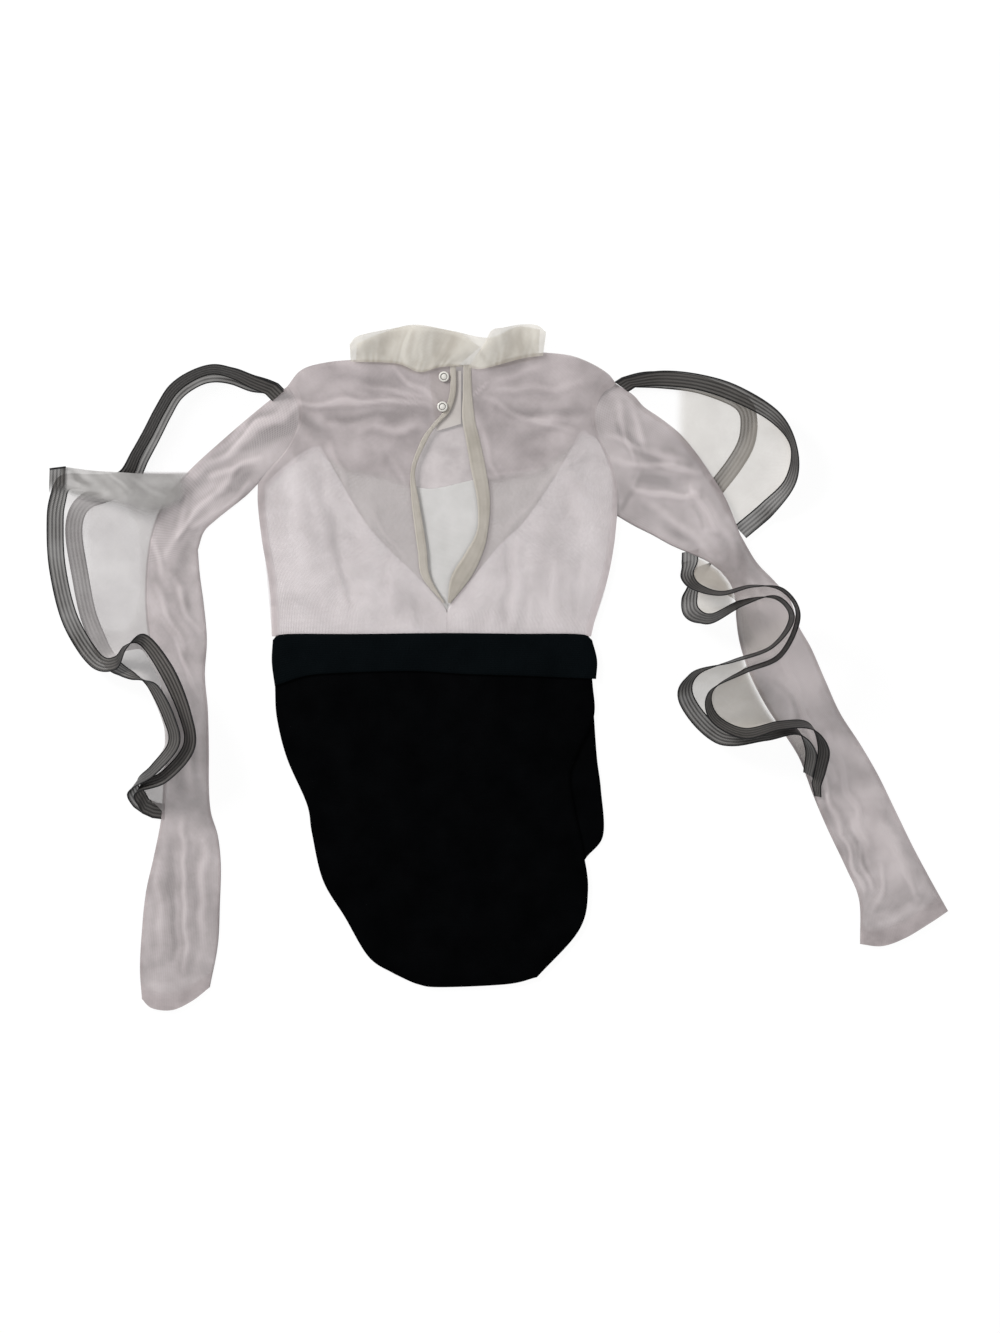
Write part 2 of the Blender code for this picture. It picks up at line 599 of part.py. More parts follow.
def sleeve(side, armhole, outer, inner, elbow, cuff, ridges, lift):
    """Upper and lower panel of one sleeve, from the armhole to the turned hem at the cuff."""
    mouth = spaced(armhole, ARMHOLE_ROWS)
    end = spaced(cuff, ARMHOLE_ROWS)

    def seam(rows, bend):
        return spaced(rows[:bend + 1], UPPER_ARM_ROWS) + spaced(rows[bend:], FOREARM_ROWS)[1:]

    grid = patch(mouth, end, seam(outer, elbow[0]), seam(inner, elbow[1]), 8.0)

    def raised(v):
        return lift * math.exp(-(((v - ELBOW_AT) / ELBOW_SPREAD) ** 2))

    def hem(x, y, u, v):
        return CLOTH + (HEM if v > 0.965 else 0.0)

    def upper(x, y, u, v):
        across = 1.0 - (2.0 * u - 1.0) ** 4
        root = math.exp(-v * 9.0) * (BACK_MESH_Z - CLOTH - GAP) * smooth(u * 4.0)
        puff = across * (SLEEVE_PUFF * (1.0 - math.exp(-v * 9.0)) * (1.0 - smooth((v - 0.9) / 0.1) * 0.5)
                         + ridge_height(ridges, x, y) * inside(0.5, v))
        return raised(v) + CLOTH + GAP + root + puff + (HEM if v > 0.9 else 0.0)

    panel("sleeve_back_" + side, grid, upper, hem, "mesh")
    panel("sleeve_front_" + side, grid, lambda x, y, u, v: raised(v), hem, "mesh")


def unit(vector):
    """Unit vector, straight up where the vector has no length."""
    return vector.normalized() if vector.length > 1e-6 else Vector((0.0, 0.0, 1.0))


def flounce(name, seam, waves, over, bare=0):
    """One flounce layer from the sleeve seam to its braid, and the braid, which runs on bare at its end."""
    fine = 400
    seam_points = spaced(seam, fine)
    last = len(waves) - 1
    foot_z = OVER_FOOT_Z if over else CLOTH / 2.0
    sheet = []
    for n in range(last * ROWS_PER_WAVE_ROW + 1):
        row = Wave(*on_curve(waves, n / ROWS_PER_WAVE_ROW))
        at = min(max(row.seam, 0.0), 1.0) * fine
        k = min(int(at), fine - 1)
        here, ahead = seam_points[k], seam_points[k + 1]
        steep = math.radians(row.steep)
        side = unit(Vector((here[1] - ahead[1], ahead[0] - here[0], 0.0)))
        foot = Vector((*between(here, ahead, at - k), foot_z))
        if not over:
            foot += (side * UNDER_SHIFT + Vector((0.0, 0.0, OVER_FOOT_Z - foot_z))) * math.sin(steep)
        inner = Vector((row.x, row.y, max(row.z, foot_z, BRAID_WALL / 2.0)))
        plan = Vector((row.out_x - row.x, row.out_y - row.y, 0.0))
        rise = math.sqrt(max(BRAID_WIDTH ** 2 - plan.length ** 2, 0.0))
        if not over:
            rise *= smooth(row.steep / 40.0)
        spread = math.sqrt(BRAID_WIDTH ** 2 - rise ** 2)
        lean = (unit(plan) * spread + Vector((0.0, 0.0, rise))) / BRAID_WIDTH
        away = unit(Vector((inner.x - foot.x, inner.y - foot.y, 0.0)))
        leave = away * math.cos(steep) + Vector((0.0, 0.0, math.sin(steep)))
        stop = inner - lean * BRAID_GAP
        reach = (stop - foot).length
        line = []
        for c in range(FLOUNCE_COLUMNS + 1):
            t = c / FLOUNCE_COLUMNS
            end = t * t * (3.0 - 2.0 * t)
            point = foot * (1.0 - end) + stop * end
            point += leave * (reach * LEAVE_PULL * t * (1.0 - t) ** 2)
            point -= lean * (reach * ARRIVE_PULL * t * t * (1.0 - t))
            point.z = max(point.z, foot.z)
            line.append(point)
        sheet.append(line + [inner, inner + lean * BRAID_WIDTH])
    low, high = shell(sheet)
    join = FLOUNCE_COLUMNS + 1
    stop_row = len(low) - bare
    wall(name, [row[:join] for row in low[:stop_row]], [row[:join] for row in high[:stop_row]], "mesh")
    wall(name.replace("flounce", "braid"), [row[join:] for row in low], [row[join:] for row in high], "braid")


def shell(sheet):
    """Lower and upper face of a flounce about its middle surface, thicker at the braid."""
    rows, columns = len(sheet) - 1, len(sheet[0]) - 1
    join = FLOUNCE_COLUMNS + 1
    low, high = [], []
    for r in range(rows + 1):
        low.append([])
        high.append([])
        for c in range(columns + 1):
            edge = c >= join - 1
            k = join if c == join - 1 else c
            along = sheet[min(r + 1, rows)][k] - sheet[max(r - 1, 0)][k]
            if edge:
                across = sheet[r][columns] - sheet[r][join]
            else:
                across = sheet[r][c + 1] - sheet[r][max(c - 1, 0)]
            normal = unit(along.cross(across))
            half = (BRAID_WALL if c >= join else CLOTH) / 2.0
            low[-1].append(sheet[r][c] - normal * half)
            high[-1].append(sheet[r][c] + normal * half)
    return low, high


def centre_on_table(parts):
    """Put the middle of the whole outline over the origin and its lowest point on the table."""
    points = [vert.co for part in parts for vert in part.data.vertices]
    shift = Vector((
        -(min(p.x for p in points) + max(p.x for p in points)) / 2.0,
        -(min(p.y for p in points) + max(p.y for p in points)) / 2.0,
        -min(p.z for p in points),
    ))
    for part in parts:
        part.data.transform(Matrix.Translation(shift))


for old in list(bpy.data.objects):
    bpy.data.objects.remove(old, do_unlink=True)
garment = bpy.data.collections.new("leotard")
bpy.context.scene.collection.children.link(garment)

torso()
neck()
brief()
sleeve("left", ARMHOLE_LEFT, LEFT_OUTER, LEFT_INNER, LEFT_ELBOW, LEFT_CUFF, LEFT_RIDGES, 0.0)
sleeve("right", ARMHOLE_RIGHT, RIGHT_OUTER, RIGHT_INNER, RIGHT_ELBOW, RIGHT_CUFF, RIGHT_RIDGES,
       ELBOW_LIFT)
flounce("flounce_left_over", LEFT_SEAM, LEFT_OVER, True)
flounce("flounce_left_under", LEFT_SEAM, LEFT_UNDER, False)
flounce("flounce_right_over_arc", RIGHT_SEAM, RIGHT_OVER_ARC, True, 2)
flounce("flounce_right_under_arc", RIGHT_SEAM, RIGHT_UNDER_ARC, False, 3)
flounce("flounce_right_over_wave", RIGHT_SEAM, RIGHT_OVER_WAVE, True)
flounce("flounce_right_under_wave", RIGHT_SEAM, RIGHT_UNDER_WAVE, False, 2)
centre_on_table(list(garment.objects))
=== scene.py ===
"""Looks of the leotard: sheer mesh, linings, bindings, ruffled collar, knit brief and braided flounces."""

import math
from collections import namedtuple

import bmesh
import bpy
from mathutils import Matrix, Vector, noise


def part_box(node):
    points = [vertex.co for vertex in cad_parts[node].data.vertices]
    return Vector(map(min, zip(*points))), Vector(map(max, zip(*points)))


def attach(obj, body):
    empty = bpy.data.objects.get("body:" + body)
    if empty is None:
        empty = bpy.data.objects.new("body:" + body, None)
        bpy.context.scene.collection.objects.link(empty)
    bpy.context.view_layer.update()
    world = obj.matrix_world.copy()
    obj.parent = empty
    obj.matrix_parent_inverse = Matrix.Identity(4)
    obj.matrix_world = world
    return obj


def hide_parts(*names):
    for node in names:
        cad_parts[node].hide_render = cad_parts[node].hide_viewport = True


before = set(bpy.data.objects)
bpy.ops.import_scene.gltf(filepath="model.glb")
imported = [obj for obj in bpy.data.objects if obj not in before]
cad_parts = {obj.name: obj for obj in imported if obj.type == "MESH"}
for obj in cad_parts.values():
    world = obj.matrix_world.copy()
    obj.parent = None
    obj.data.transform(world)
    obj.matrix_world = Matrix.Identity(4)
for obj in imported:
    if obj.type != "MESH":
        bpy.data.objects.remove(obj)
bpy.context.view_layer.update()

MM = 0.001

# Photo position of the frame's origin, from the upper button's own place
BUTTON_AT = (444.0, 377.0)
low_corner, high_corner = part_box("button_upper")
middle = (low_corner + high_corner) / 2.0
ORIGIN_X = BUTTON_AT[0] - middle.x / MM
ORIGIN_Y = BUTTON_AT[1] + middle.y / MM

# Heights of the cloth layers in millimetres
FRONT_Z = 0.5
FRONT_LINING_Z = 1.8
BACK_LINING_Z = 3.1
TAB_Z = 3.2
BACK_Z = 4.4
TAPE_Z = 4.9
BAND_FRONT_Z = 1.2
BAND_BACK_Z = 3.9
BRIEF_FRONT_Z = 0.8
BRIEF_BACK_Z = 2.6
SLEEVE_Z = 1.3
# How far the cloth puffs up in the middle of each part
TORSO_PUFF = 0.8
SLEEVE_PUFF = 2.6
BRIEF_PUFF = 1.2
TAPE_CROWN = 0.7
# Thickness of the knit, and how far panels reach under the waistband and the collar over the neck
BAND_THICK = 2.0
BRIEF_THICK = 1.2
TUCK = 3.5
COLLAR_TUCK = 4.0
# How closely the armhole's and the cuff's curves stay at the ends of a sleeve
ENDS_HOLD = 8.0
# Lift of the right sleeve over the flounce: height, and place and spread as shares of its length
ELBOW_LIFT = 6.5
ELBOW_AT = 0.33
ELBOW_SPREAD = 0.17
# Flounces: foot heights, the standing under layer's shift, and the cloth's bulge at both ends
OVER_FOOT_Z = 2.6
UNDER_FOOT_Z = 0.5
LOWEST_EDGE_Z = 0.75
UNDER_SHIFT = 2.0
LEAVE_PULL = 1.1
ARRIVE_PULL = 0.5
# How far each seam reaches under its sleeve, below 0 where the sleeve lies on the seam line's other side
LEFT_REACH = 3.0
ARC_REACH = -7.0
WAVE_REACH = 9.0
BRAID_WIDTH = 16.0
# Shares of the braid's width at which it has points
BRAID_PARTS = (0.0, 0.25, 0.5, 0.75, 1.0)
CORD_RADIUS = 0.6
CREASE_RADIUS = 0.9
# Layers of cloth counted where pieces, seams and hems lie over each other
FRONT_LAYERS = 2.2
LINED_LAYERS = -0.35
SLEEVE_SEAM_LAYERS = 0.6
LOWER_WALL_LAYERS = 0.6
LOOP_LAYERS = 0.06
# Widths of the side seams, the sleeve seams and the cuff's hem
SIDE_SEAM = 5.0
SLEEVE_SEAM = 2.6
HEM = 14.0
# Share of the painted fold light and shade in a colour, and the lighter tone that a lining gives the yoke
# over it, partly the white lining seen in the mesh and partly painted light thrown back from the lining
FOLD_SHADING_SHARE = 0.52
LINED_BOUNCE_LIGHT = 0.6

# Seam lines of the torso: x, y
ARMHOLE_LEFT = [(288, 386), (297, 402), (298, 425), (286, 450), (268, 471), (258, 484)]
SIDE_LEFT = [(258, 484), (258, 505), (262, 540), (268, 575), (271, 605), (272, 633)]
SHOULDER_LEFT = [(288, 386), (300, 371), (318, 364), (350, 360)]
NECK_LEFT = [(350, 360), (396, 361), (419, 370), (436, 366), (450, 364)]
ARMHOLE_RIGHT = [(616, 384), (601, 396), (595, 416), (599, 437), (610, 460), (617, 486), (617, 516)]
SIDE_RIGHT = [(617, 516), (614, 545), (608, 577), (599, 606), (591, 633)]
NECK_RIGHT = [(471, 366), (484, 368), (500, 362), (522, 356), (544, 353)]
SHOULDER_RIGHT = [(544, 353), (571, 356), (592, 364), (608, 374), (616, 384)]
WAIST_Y = 633
CENTRE_X = 447

# Edges of the two bindings round the opening at the back of the neck
Opening = namedtuple("Opening", "y left_outer left_inner right_inner right_outer")
OPENING = [Opening(*row) for row in (
    (365, 450.0, 460.0, 463.5, 471.0), (392, 450.0, 460.0, 463.0, 472.0), (412, 443.0, 454.0, 462.0, 474.0),
    (425, 432.0, 441.0, 463.0, 476.0), (441, 421.0, 431.0, 466.0, 480.0), (470, 411.0, 418.5, 471.0, 486.0),
    (500, 411.5, 424.0, 477.0, 490.0), (530, 415.0, 430.0, 477.0, 488.0), (552, 418.0, 433.0, 466.0, 483.0),
    (577, 422.0, 435.0, 451.0, 471.0), (603, 443.0, 446.3, 447.7, 451.0),
)]

# Linings: the deep V of the back and the level top of the front
LINING_LEFT_OUTER = [(315, 446), (300, 454), (280, 470), (262, 490), (260, 512), (264, 547), (272, 633)]
LINING_LEFT_INNER = [
    (321, 447), (350, 497), (369, 527), (392, 552), (415, 574), (436, 597), (446.6, 612), (447, 633),
]
LINING_RIGHT_OUTER = [(586, 431), (598, 441), (609, 465), (615, 490), (616, 516), (608, 577), (591, 633)]
LINING_RIGHT_INNER = [
    (580, 432), (559, 470), (543, 495), (523, 523), (500, 545), (474, 576), (455, 597), (447.4, 612),
    (447, 633),
]
FRONT_LINING_TOP = [
    (315, 448), (345, 469), (383, 476), (425, 491), (471, 483), (507, 477), (545, 468), (585, 434),
]

# Waistband and brief
BAND_TOP = [(273, 640), (285, 634.3), (355, 634.2), (446, 633.3), (520, 634), (580, 634.3), (592, 640)]
BAND_BOTTOM = [(275, 686), (306, 676), (340, 673), (412, 671), (464, 674), (527, 676), (596, 679)]
BAND_LEFT = [(273, 640), (272, 662), (275, 686)]
BAND_RIGHT = [(592, 640), (597, 660), (596, 679)]
BRIEF_TOP = [(275, 687), (306, 677), (340, 674), (412, 672), (464, 675), (527, 677), (592, 680)]
BRIEF_LEFT = [
    (275, 687), (277, 718), (287, 758), (307, 804), (312, 833), (323, 880), (345, 917), (369, 957),
    (395, 974),
]
BRIEF_RIGHT = [
    (592, 680), (594, 716), (578, 752), (570, 775), (574, 807), (583, 850), (588, 890), (579, 930),
    (537, 977),
]
HIP_RIGHT = [
    (592, 680), (594, 716), (597, 758), (601, 790), (603, 836), (584, 862), (588, 890), (579, 930),
    (537, 977),
]
BRIEF_BOTTOM = [(395, 974), (418, 984), (441, 987), (507, 984), (537, 977)]

# Seams of the sleeves from the shoulder to the cuff
LEFT_OUTER = [
    (288, 386), (264, 405), (240, 425), (216, 446), (192, 468), (167, 496), (152, 530), (146, 565),
    (145, 600), (149, 640), (159, 677), (165, 715), (165, 750), (163, 790), (161, 820), (154, 856),
    (146, 892), (142, 930), (140, 968), (142, 999),
]
LEFT_INNER = [
    (258, 484), (246, 496), (231, 508), (216, 520), (204, 532), (198, 550), (200, 575), (204, 605),
    (207, 640), (205, 675), (208, 710), (209, 750), (209, 785), (211, 812), (218, 836), (221, 866),
    (220, 905), (218, 945), (210, 987),
]
LEFT_ELBOW = (7, 5)
RIGHT_ELBOW = (8, 6)
LEFT_CUFF = [(142, 999), (152, 1008), (172, 1010), (192, 1001), (210, 987)]
RIGHT_OUTER = [
    (616, 384), (633, 395), (644, 407), (660, 418), (680, 434), (696, 453), (711, 475), (726, 500),
    (740, 535), (756, 562), (774, 581), (790, 600), (798, 625), (811, 648), (825, 680), (840, 713),
    (860, 744), (878, 775), (895, 810), (912, 845), (929, 877), (948, 911),
]
RIGHT_INNER = [
    (617, 516), (634, 526), (652, 535), (670, 545), (688, 553), (706, 561), (720, 571), (730, 584),
    (735, 600), (736, 620), (740, 645), (750, 675), (766, 706), (785, 735), (800, 760), (813, 795),
    (827, 828), (846, 868), (859, 900), (860, 944),
]
RIGHT_CUFF = [(948, 911), (930, 923), (905, 938), (882, 946), (860, 944)]

# Collar: the foot and the free edge of each ruffled stretch, with its wave count and wave height
Ruffle = namedtuple("Ruffle", "name foot edge waves swing rest")
RUFFLES = [
    Ruffle("collar_front",
           [(356, 359), (396, 362), (419, 370), (459, 363), (496, 364), (538, 355)],
           [(357, 344), (378, 335), (412, 325), (452, 331), (489, 338), (517, 327), (540, 330)],
           3.2, 1.6, 1.8),
    Ruffle("collar_back_left",
           [(351, 358), (396, 360), (419, 368.5), (438, 364), (458, 362)],
           [(350, 345), (358, 337), (382, 331), (407, 327), (432, 328), (459, 334), (480, 348)],
           2.4, 2.6, 6.6),
    Ruffle("collar_back_right",
           [(468, 364), (480, 365.5), (496, 362), (522, 355), (543, 352)],
           [(485, 343), (492, 331), (504, 328), (521, 325), (537, 326), (546, 333)],
           1.3, 2.4, 6.6),
]

# Soft ridges and creases in the cloth: from one end to the other, with half width and height
Ridge = namedtuple("Ridge", "x1 y1 x2 y2 width height")
TORSO_RIDGES = [Ridge(*row) for row in (
    (296, 403, 434, 404, 3.5, 2.2), (330, 420, 428, 414, 6, -1.6), (300, 415, 330, 440, 8, -1.8),
    (322, 377, 410, 380, 9, -1.0), (360, 384, 436, 400, 4, 1.2), (392, 366, 440, 404, 3, 1.6),
    (362, 432, 424, 424, 4, 1.5), (385, 450, 390, 470, 6, -1.0), (388, 455, 416, 505, 3, 1.0),
    (330, 447, 356, 503, 2.5, 1.4), (356, 503, 424, 578, 2.5, 1.2), (318, 470, 348, 600, 6, -1.5),
    (292, 452, 304, 590, 9, 1.0), (336, 555, 346, 626, 4, 1.4), (366, 500, 360, 560, 10, 0.9),
    (392, 560, 388, 628, 8, 0.8), (412, 596, 420, 628, 6, -0.8), (472, 399, 486, 383, 2.5, 1.8),
    (474, 410, 498, 476, 3.5, 1.3), (490, 384, 540, 366, 5, 1.1), (486, 392, 590, 384, 4, 1.0),
    (500, 412, 590, 410, 7, -1.5), (486, 402, 572, 434, 4, 1.3), (520, 440, 570, 426, 7, -1.0),
    (484, 474, 542, 470, 3, 1.1), (507, 530, 583, 448, 3, 1.3), (566, 470, 592, 540, 10, 1.1),
    (508, 545, 503, 622, 4, -1.2), (520, 545, 514, 626, 5, 1.4), (558, 560, 552, 626, 6, 1.2),
    (575, 560, 572, 626, 4, -0.9), (532, 600, 531, 630, 2.5, 0.9), (540, 606, 540, 630, 2, -0.8),
    (494, 606, 492, 630, 2.5, 0.8),
)]
LEFT_RIDGES = [Ridge(*row) for row in (
    (298, 402, 200, 474, 5, 2.6), (272, 400, 178, 484, 6, 1.4), (294, 424, 246, 452, 9, -2.2),
    (284, 404, 240, 446, 3.5, 1.8), (258, 458, 212, 478, 4, 2.0), (262, 470, 208, 500, 7, -1.4),
    (250, 486, 196, 528, 4, 1.8), (228, 442, 176, 520, 8, -1.2), (236, 470, 178, 536, 3.5, 1.8),
    (190, 500, 168, 560, 5, 1.2), (152, 540, 168, 590, 4, 1.4), (196, 536, 174, 582, 7, -1.6),
    (170, 578, 202, 634, 3.5, 1.8), (158, 584, 184, 650, 3.5, 1.5), (186, 590, 200, 640, 7, -1.2),
    (166, 620, 200, 700, 3, 1.4), (186, 700, 190, 800, 5, 1.8), (176, 720, 178, 790, 5, -1.2),
    (200, 720, 203, 790, 4, 1.0), (184, 820, 187, 970, 4, 2.0), (172, 840, 170, 960, 5, -1.6),
    (160, 860, 156, 960, 4, 1.3), (204, 840, 205, 930, 4, 1.4), (196, 850, 197, 960, 4, -1.2),
    (150, 986, 206, 978, 2, 0.8),
)]
RIGHT_RIDGES = [Ridge(*row) for row in (
    (618, 400, 634, 462, 3, 1.8), (628, 404, 648, 450, 3, 1.4), (624, 430, 662, 466, 6, -1.8),
    (608, 436, 688, 464, 4, 2.0), (648, 458, 700, 476, 3.5, 2.2), (612, 462, 676, 464, 3.5, 1.8),
    (640, 478, 684, 484, 9, -2.4), (634, 492, 700, 494, 3.5, 2.2), (640, 468, 634, 488, 2.5, 1.6),
    (620, 510, 634, 494, 3, -1.6), (640, 494, 712, 552, 5, 1.2), (690, 484, 716, 530, 3.5, 1.6),
    (650, 520, 700, 544, 6, -1.2), (694, 506, 704, 528, 3, -1.2), (706, 500, 736, 560, 4, 1.2),
    (744, 570, 786, 640, 5, 1.4), (762, 620, 800, 690, 4, 1.5), (778, 680, 812, 750, 4, -1.4),
    (796, 700, 834, 780, 4, 1.8), (800, 752, 826, 838, 4, -2.2), (812, 742, 842, 830, 3, 2.2),
    (830, 740, 870, 850, 4, 1.4), (846, 820, 866, 870, 4, -2.0), (840, 830, 862, 890, 2.5, 2.4),
    (858, 846, 868, 886, 2.5, 2.0), (884, 870, 874, 910, 3, 1.6), (884, 800, 920, 880, 6, -1.4),
    (896, 850, 918, 900, 3.5, 1.6), (864, 930, 940, 900, 2, 1.0), (872, 912, 926, 896, 4, -1.0),
)]
# Broad lights and shades on the sleeves, which change the tone and not the form
LEFT_SHADES = [Ridge(*row) for row in (
    (238, 420, 190, 480, 14, -1.3), (128, 560, 150, 700, 16, 0.3),
)]
RIGHT_SHADES = [Ridge(*row) for row in (
    (772, 590, 812, 700, 32, 3.4), (812, 700, 900, 880, 34, 1.8), (744, 600, 764, 650, 12, 2.4),
    (860, 900, 880, 940, 12, -0.6),
)]
LINING_RIDGES = [Ridge(*row) for row in (
    (318, 470, 348, 610, 8, -1.2), (292, 460, 300, 610, 12, 1.2), (336, 560, 346, 626, 4, 1.2),
    (372, 560, 366, 626, 8, 0.8), (400, 590, 404, 630, 7, -0.9), (586, 450, 590, 560, 12, 1.2),
    (508, 560, 503, 626, 4, -1.0), (520, 560, 516, 626, 4, 1.1), (554, 560, 550, 626, 5, 1.0),
    (450, 500, 452, 560, 8, 0.7),
)]

# Flounce rows: where the row leaves the seam (0 to 1), the braid's inner edge and its height,
# where its outer edge lies in plan, and how steeply the cloth leaves the seam in degrees
Wave = namedtuple("Wave", "seam x y z out_x out_y steep")
LEFT_SEAM = [
    (284, 388), (264, 404), (240, 424), (216, 445), (192, 467), (166, 496), (151, 530), (145, 565),
    (144, 600), (148, 640), (158, 677), (164, 715), (164, 750), (162, 790), (160.5, 812),
]
LEFT_OVER = [Wave(*row) for row in (
    (0.035, 266, 394, 4, 277, 385, 10), (0.060, 251, 388, 6, 256, 377, 15),
    (0.090, 233, 379, 8, 236, 370, 15), (0.120, 214, 374.5, 9, 214, 366, 15),
    (0.150, 196, 380, 9, 191, 373, 15), (0.178, 178, 393, 9, 171, 387, 15),
    (0.210, 165, 413, 9, 157, 409, 15), (0.245, 153, 436, 8, 145, 432, 12),
    (0.280, 141, 457, 6, 133, 453, 8), (0.315, 131, 478, 5, 121, 472, 5),
    (0.340, 111, 488.5, 4, 104, 475, 4), (0.358, 90, 490, 4, 87, 475, 6), (0.378, 71, 489, 6, 60, 475, 8),
    (0.405, 66, 502, 8, 50, 495, 10), (0.445, 64, 522, 10, 48, 521, 12), (0.510, 66, 566, 10, 50, 571, 12),
    (0.577, 78, 616, 9, 63, 624, 12), (0.628, 101, 654, 9, 92, 666, 18),
    (0.650, 116, 657, 17, 118, 669, 40), (0.668, 127, 646, 29, 130, 648, 65),
    (0.687, 143, 645, 39, 149, 635, 85), (0.730, 164, 675, 46, 176, 667, 90),
    (0.800, 182, 715, 44, 194, 712, 90), (0.855, 186, 744, 38, 197, 749, 88),
    (0.905, 164, 771, 25, 169, 781, 75), (0.950, 142, 783, 10, 136, 794, 25),
    (1.000, 153, 803, 3.2, 148, 816, 5),
)]
LEFT_UNDER = [Wave(*row) for row in (
    (0.035, 265, 393, 1, 278, 384, 0), (0.060, 250, 391, 1, 256, 376, 0), (0.090, 231, 384, 1, 236, 369, 0),
    (0.120, 214, 382, 1, 214, 366, 0), (0.150, 199, 386, 1, 191, 373, 0), (0.178, 182, 398, 1, 171, 387, 0),
    (0.210, 171, 416, 1, 157, 409, 0), (0.245, 159, 440, 1, 145, 433, 0), (0.280, 148, 461, 1, 134, 454, 0),
    (0.315, 139, 480, 1, 126, 470, 0), (0.338, 123, 495, 1, 112, 483, 0), (0.354, 106, 502, 1, 98, 488, 0),
    (0.370, 92, 507, 1, 81, 495, 0), (0.390, 84, 517, 1, 69, 511, 0), (0.440, 82, 535, 1, 66, 535, 0),
    (0.510, 87, 568, 1, 71, 573, 0), (0.580, 95, 610, 1, 81, 618, 0), (0.630, 107, 641, 1, 97, 653, 2),
    (0.648, 113, 652, 4, 107, 665, 8), (0.664, 120, 661, 12, 119, 674, 34),
    (0.681, 129, 668, 23, 133, 679, 55), (0.698, 138, 674, 33, 145, 680, 74),
    (0.735, 152, 688, 45, 162, 686, 88), (0.800, 167, 719, 47, 178, 716, 90),
    (0.855, 171, 742, 40, 182, 745, 88), (0.905, 153, 765, 24, 156, 775, 74),
    (0.950, 138, 782, 5, 129, 793, 18), (1.000, 152, 806, 0.8, 147, 819, 0),
)]
RIGHT_SEAM = [
    (617.4, 383.3), (634.8, 393.2), (646.2, 405), (661.4, 416.6), (680.6, 433.4), (696.6, 452.4),
    (711.7, 474.5), (727, 499.5), (741, 534.5), (745, 560), (737, 582), (731, 601), (732, 621), (736, 646),
    (746, 677), (762, 708), (781, 738), (796, 763), (809, 796),
]
RIGHT_OVER_ARC = [Wave(*row) for row in (
    (0.030, 634, 387, 5, 623, 379, 10), (0.050, 660, 386, 7, 661, 372, 15),
    (0.090, 697, 390, 10, 701, 376, 18), (0.140, 733, 402, 12, 739, 388, 18),
    (0.185, 770, 422, 13, 778, 414, 18), (0.225, 790, 447, 11, 795, 447, 15),
    (0.265, 785, 479, 8, 795, 482, 12), (0.310, 762, 503, 4, 773, 514, 4),
    (0.355, 735, 526, 2.6, 746, 538, 1),
)]
RIGHT_UNDER_ARC = [Wave(*row) for row in (
    (0.030, 635, 387, 1, 622, 378, 0), (0.050, 661, 388, 1, 661, 372, 0), (0.085, 694, 392, 1, 698, 376, 0),
    (0.120, 724, 402, 1, 731, 388, 0), (0.145, 738, 411, 1, 751, 401, 0), (0.170, 741, 424, 1, 757, 422, 0),
    (0.200, 738, 442, 1, 753, 447, 0), (0.235, 727, 461, 1, 739, 471, 0), (0.280, 710, 483, 1, 721, 495, 0),
)]
RIGHT_OVER_WAVE = [Wave(*row) for row in (
    (0.445, 698, 549, 2.6, 681, 553, 1), (0.475, 697, 562, 2.6, 682, 566, 1),
    (0.505, 693, 574, 7, 681, 579, 6), (0.535, 700, 585, 18, 692, 590, 18),
    (0.562, 720, 592, 37, 719, 596, 60), (0.578, 750, 586, 49, 750, 588, 86),
    (0.592, 779, 592, 52, 780, 590, 90), (0.612, 793, 616, 53, 796, 617, 90),
    (0.652, 776, 654, 51, 778, 657, 90), (0.695, 741, 670, 46, 742, 673, 85),
    (0.745, 712, 690, 33, 707, 692, 55), (0.790, 716, 714, 23, 709, 720, 40),
    (0.825, 743, 728, 29, 742, 738, 60), (0.850, 777, 721, 35, 778, 729, 85),
    (0.885, 806, 722, 28, 810, 729, 88), (0.935, 817, 745, 18, 827, 749, 80),
    (1.000, 814, 772, 9, 823, 776, 45),
)]
RIGHT_UNDER_WAVE = [Wave(*row) for row in (
    (0.455, 712, 562, 1, 697, 567, 0), (0.485, 701, 580, 1, 687, 588, 0), (0.515, 697, 595, 2, 682, 600, 0),
    (0.545, 698, 608, 8, 688, 615, 14), (0.570, 711, 614, 22, 708, 624, 50),
    (0.590, 739, 601, 42, 741, 606, 82), (0.607, 771, 599, 53, 773, 597, 90),
    (0.625, 786, 618, 57, 790, 619, 90), (0.660, 768, 646, 55, 769, 648, 90),
    (0.700, 731, 660, 44, 731, 662, 84), (0.750, 697, 675, 24, 690, 673, 45),
    (0.800, 694, 698, 9, 682, 703, 18), (0.845, 724, 731, 12, 719, 743, 30),
    (0.872, 762, 731, 28, 763, 740, 80), (0.900, 792, 727, 31, 796, 734, 88),
    (0.940, 804, 748, 22, 814, 752, 80), (1.000, 803, 772, 12, 811, 777, 45),
)]


def between(a, b, t):
    """Point a fraction t of the way from a to b."""
    return tuple(p + (q - p) * t for p, q in zip(a, b))


def smooth(t):
    """Ease from 0 to 1 with level ends."""
    t = min(max(t, 0.0), 1.0)
    return t * t * (3.0 - 2.0 * t)


def on_curve(rows, t):
    """Point at row position t on a smooth curve through the rows."""
    last = len(rows) - 1
    i = min(int(t), last - 1)
    f = t - i
    b, c = rows[i], rows[i + 1]
    a = rows[i - 1] if i > 0 else between(c, b, 2.0)
    d = rows[i + 2] if i + 2 <= last else between(b, c, 2.0)
    return tuple(
        0.5 * (2.0 * q + (r - p) * f + (2.0 * p - 5.0 * q + 4.0 * r - s) * f * f
               + (3.0 * q - p - 3.0 * r + s) * f ** 3)
        for p, q, r, s in zip(a, b, c, d)
    )


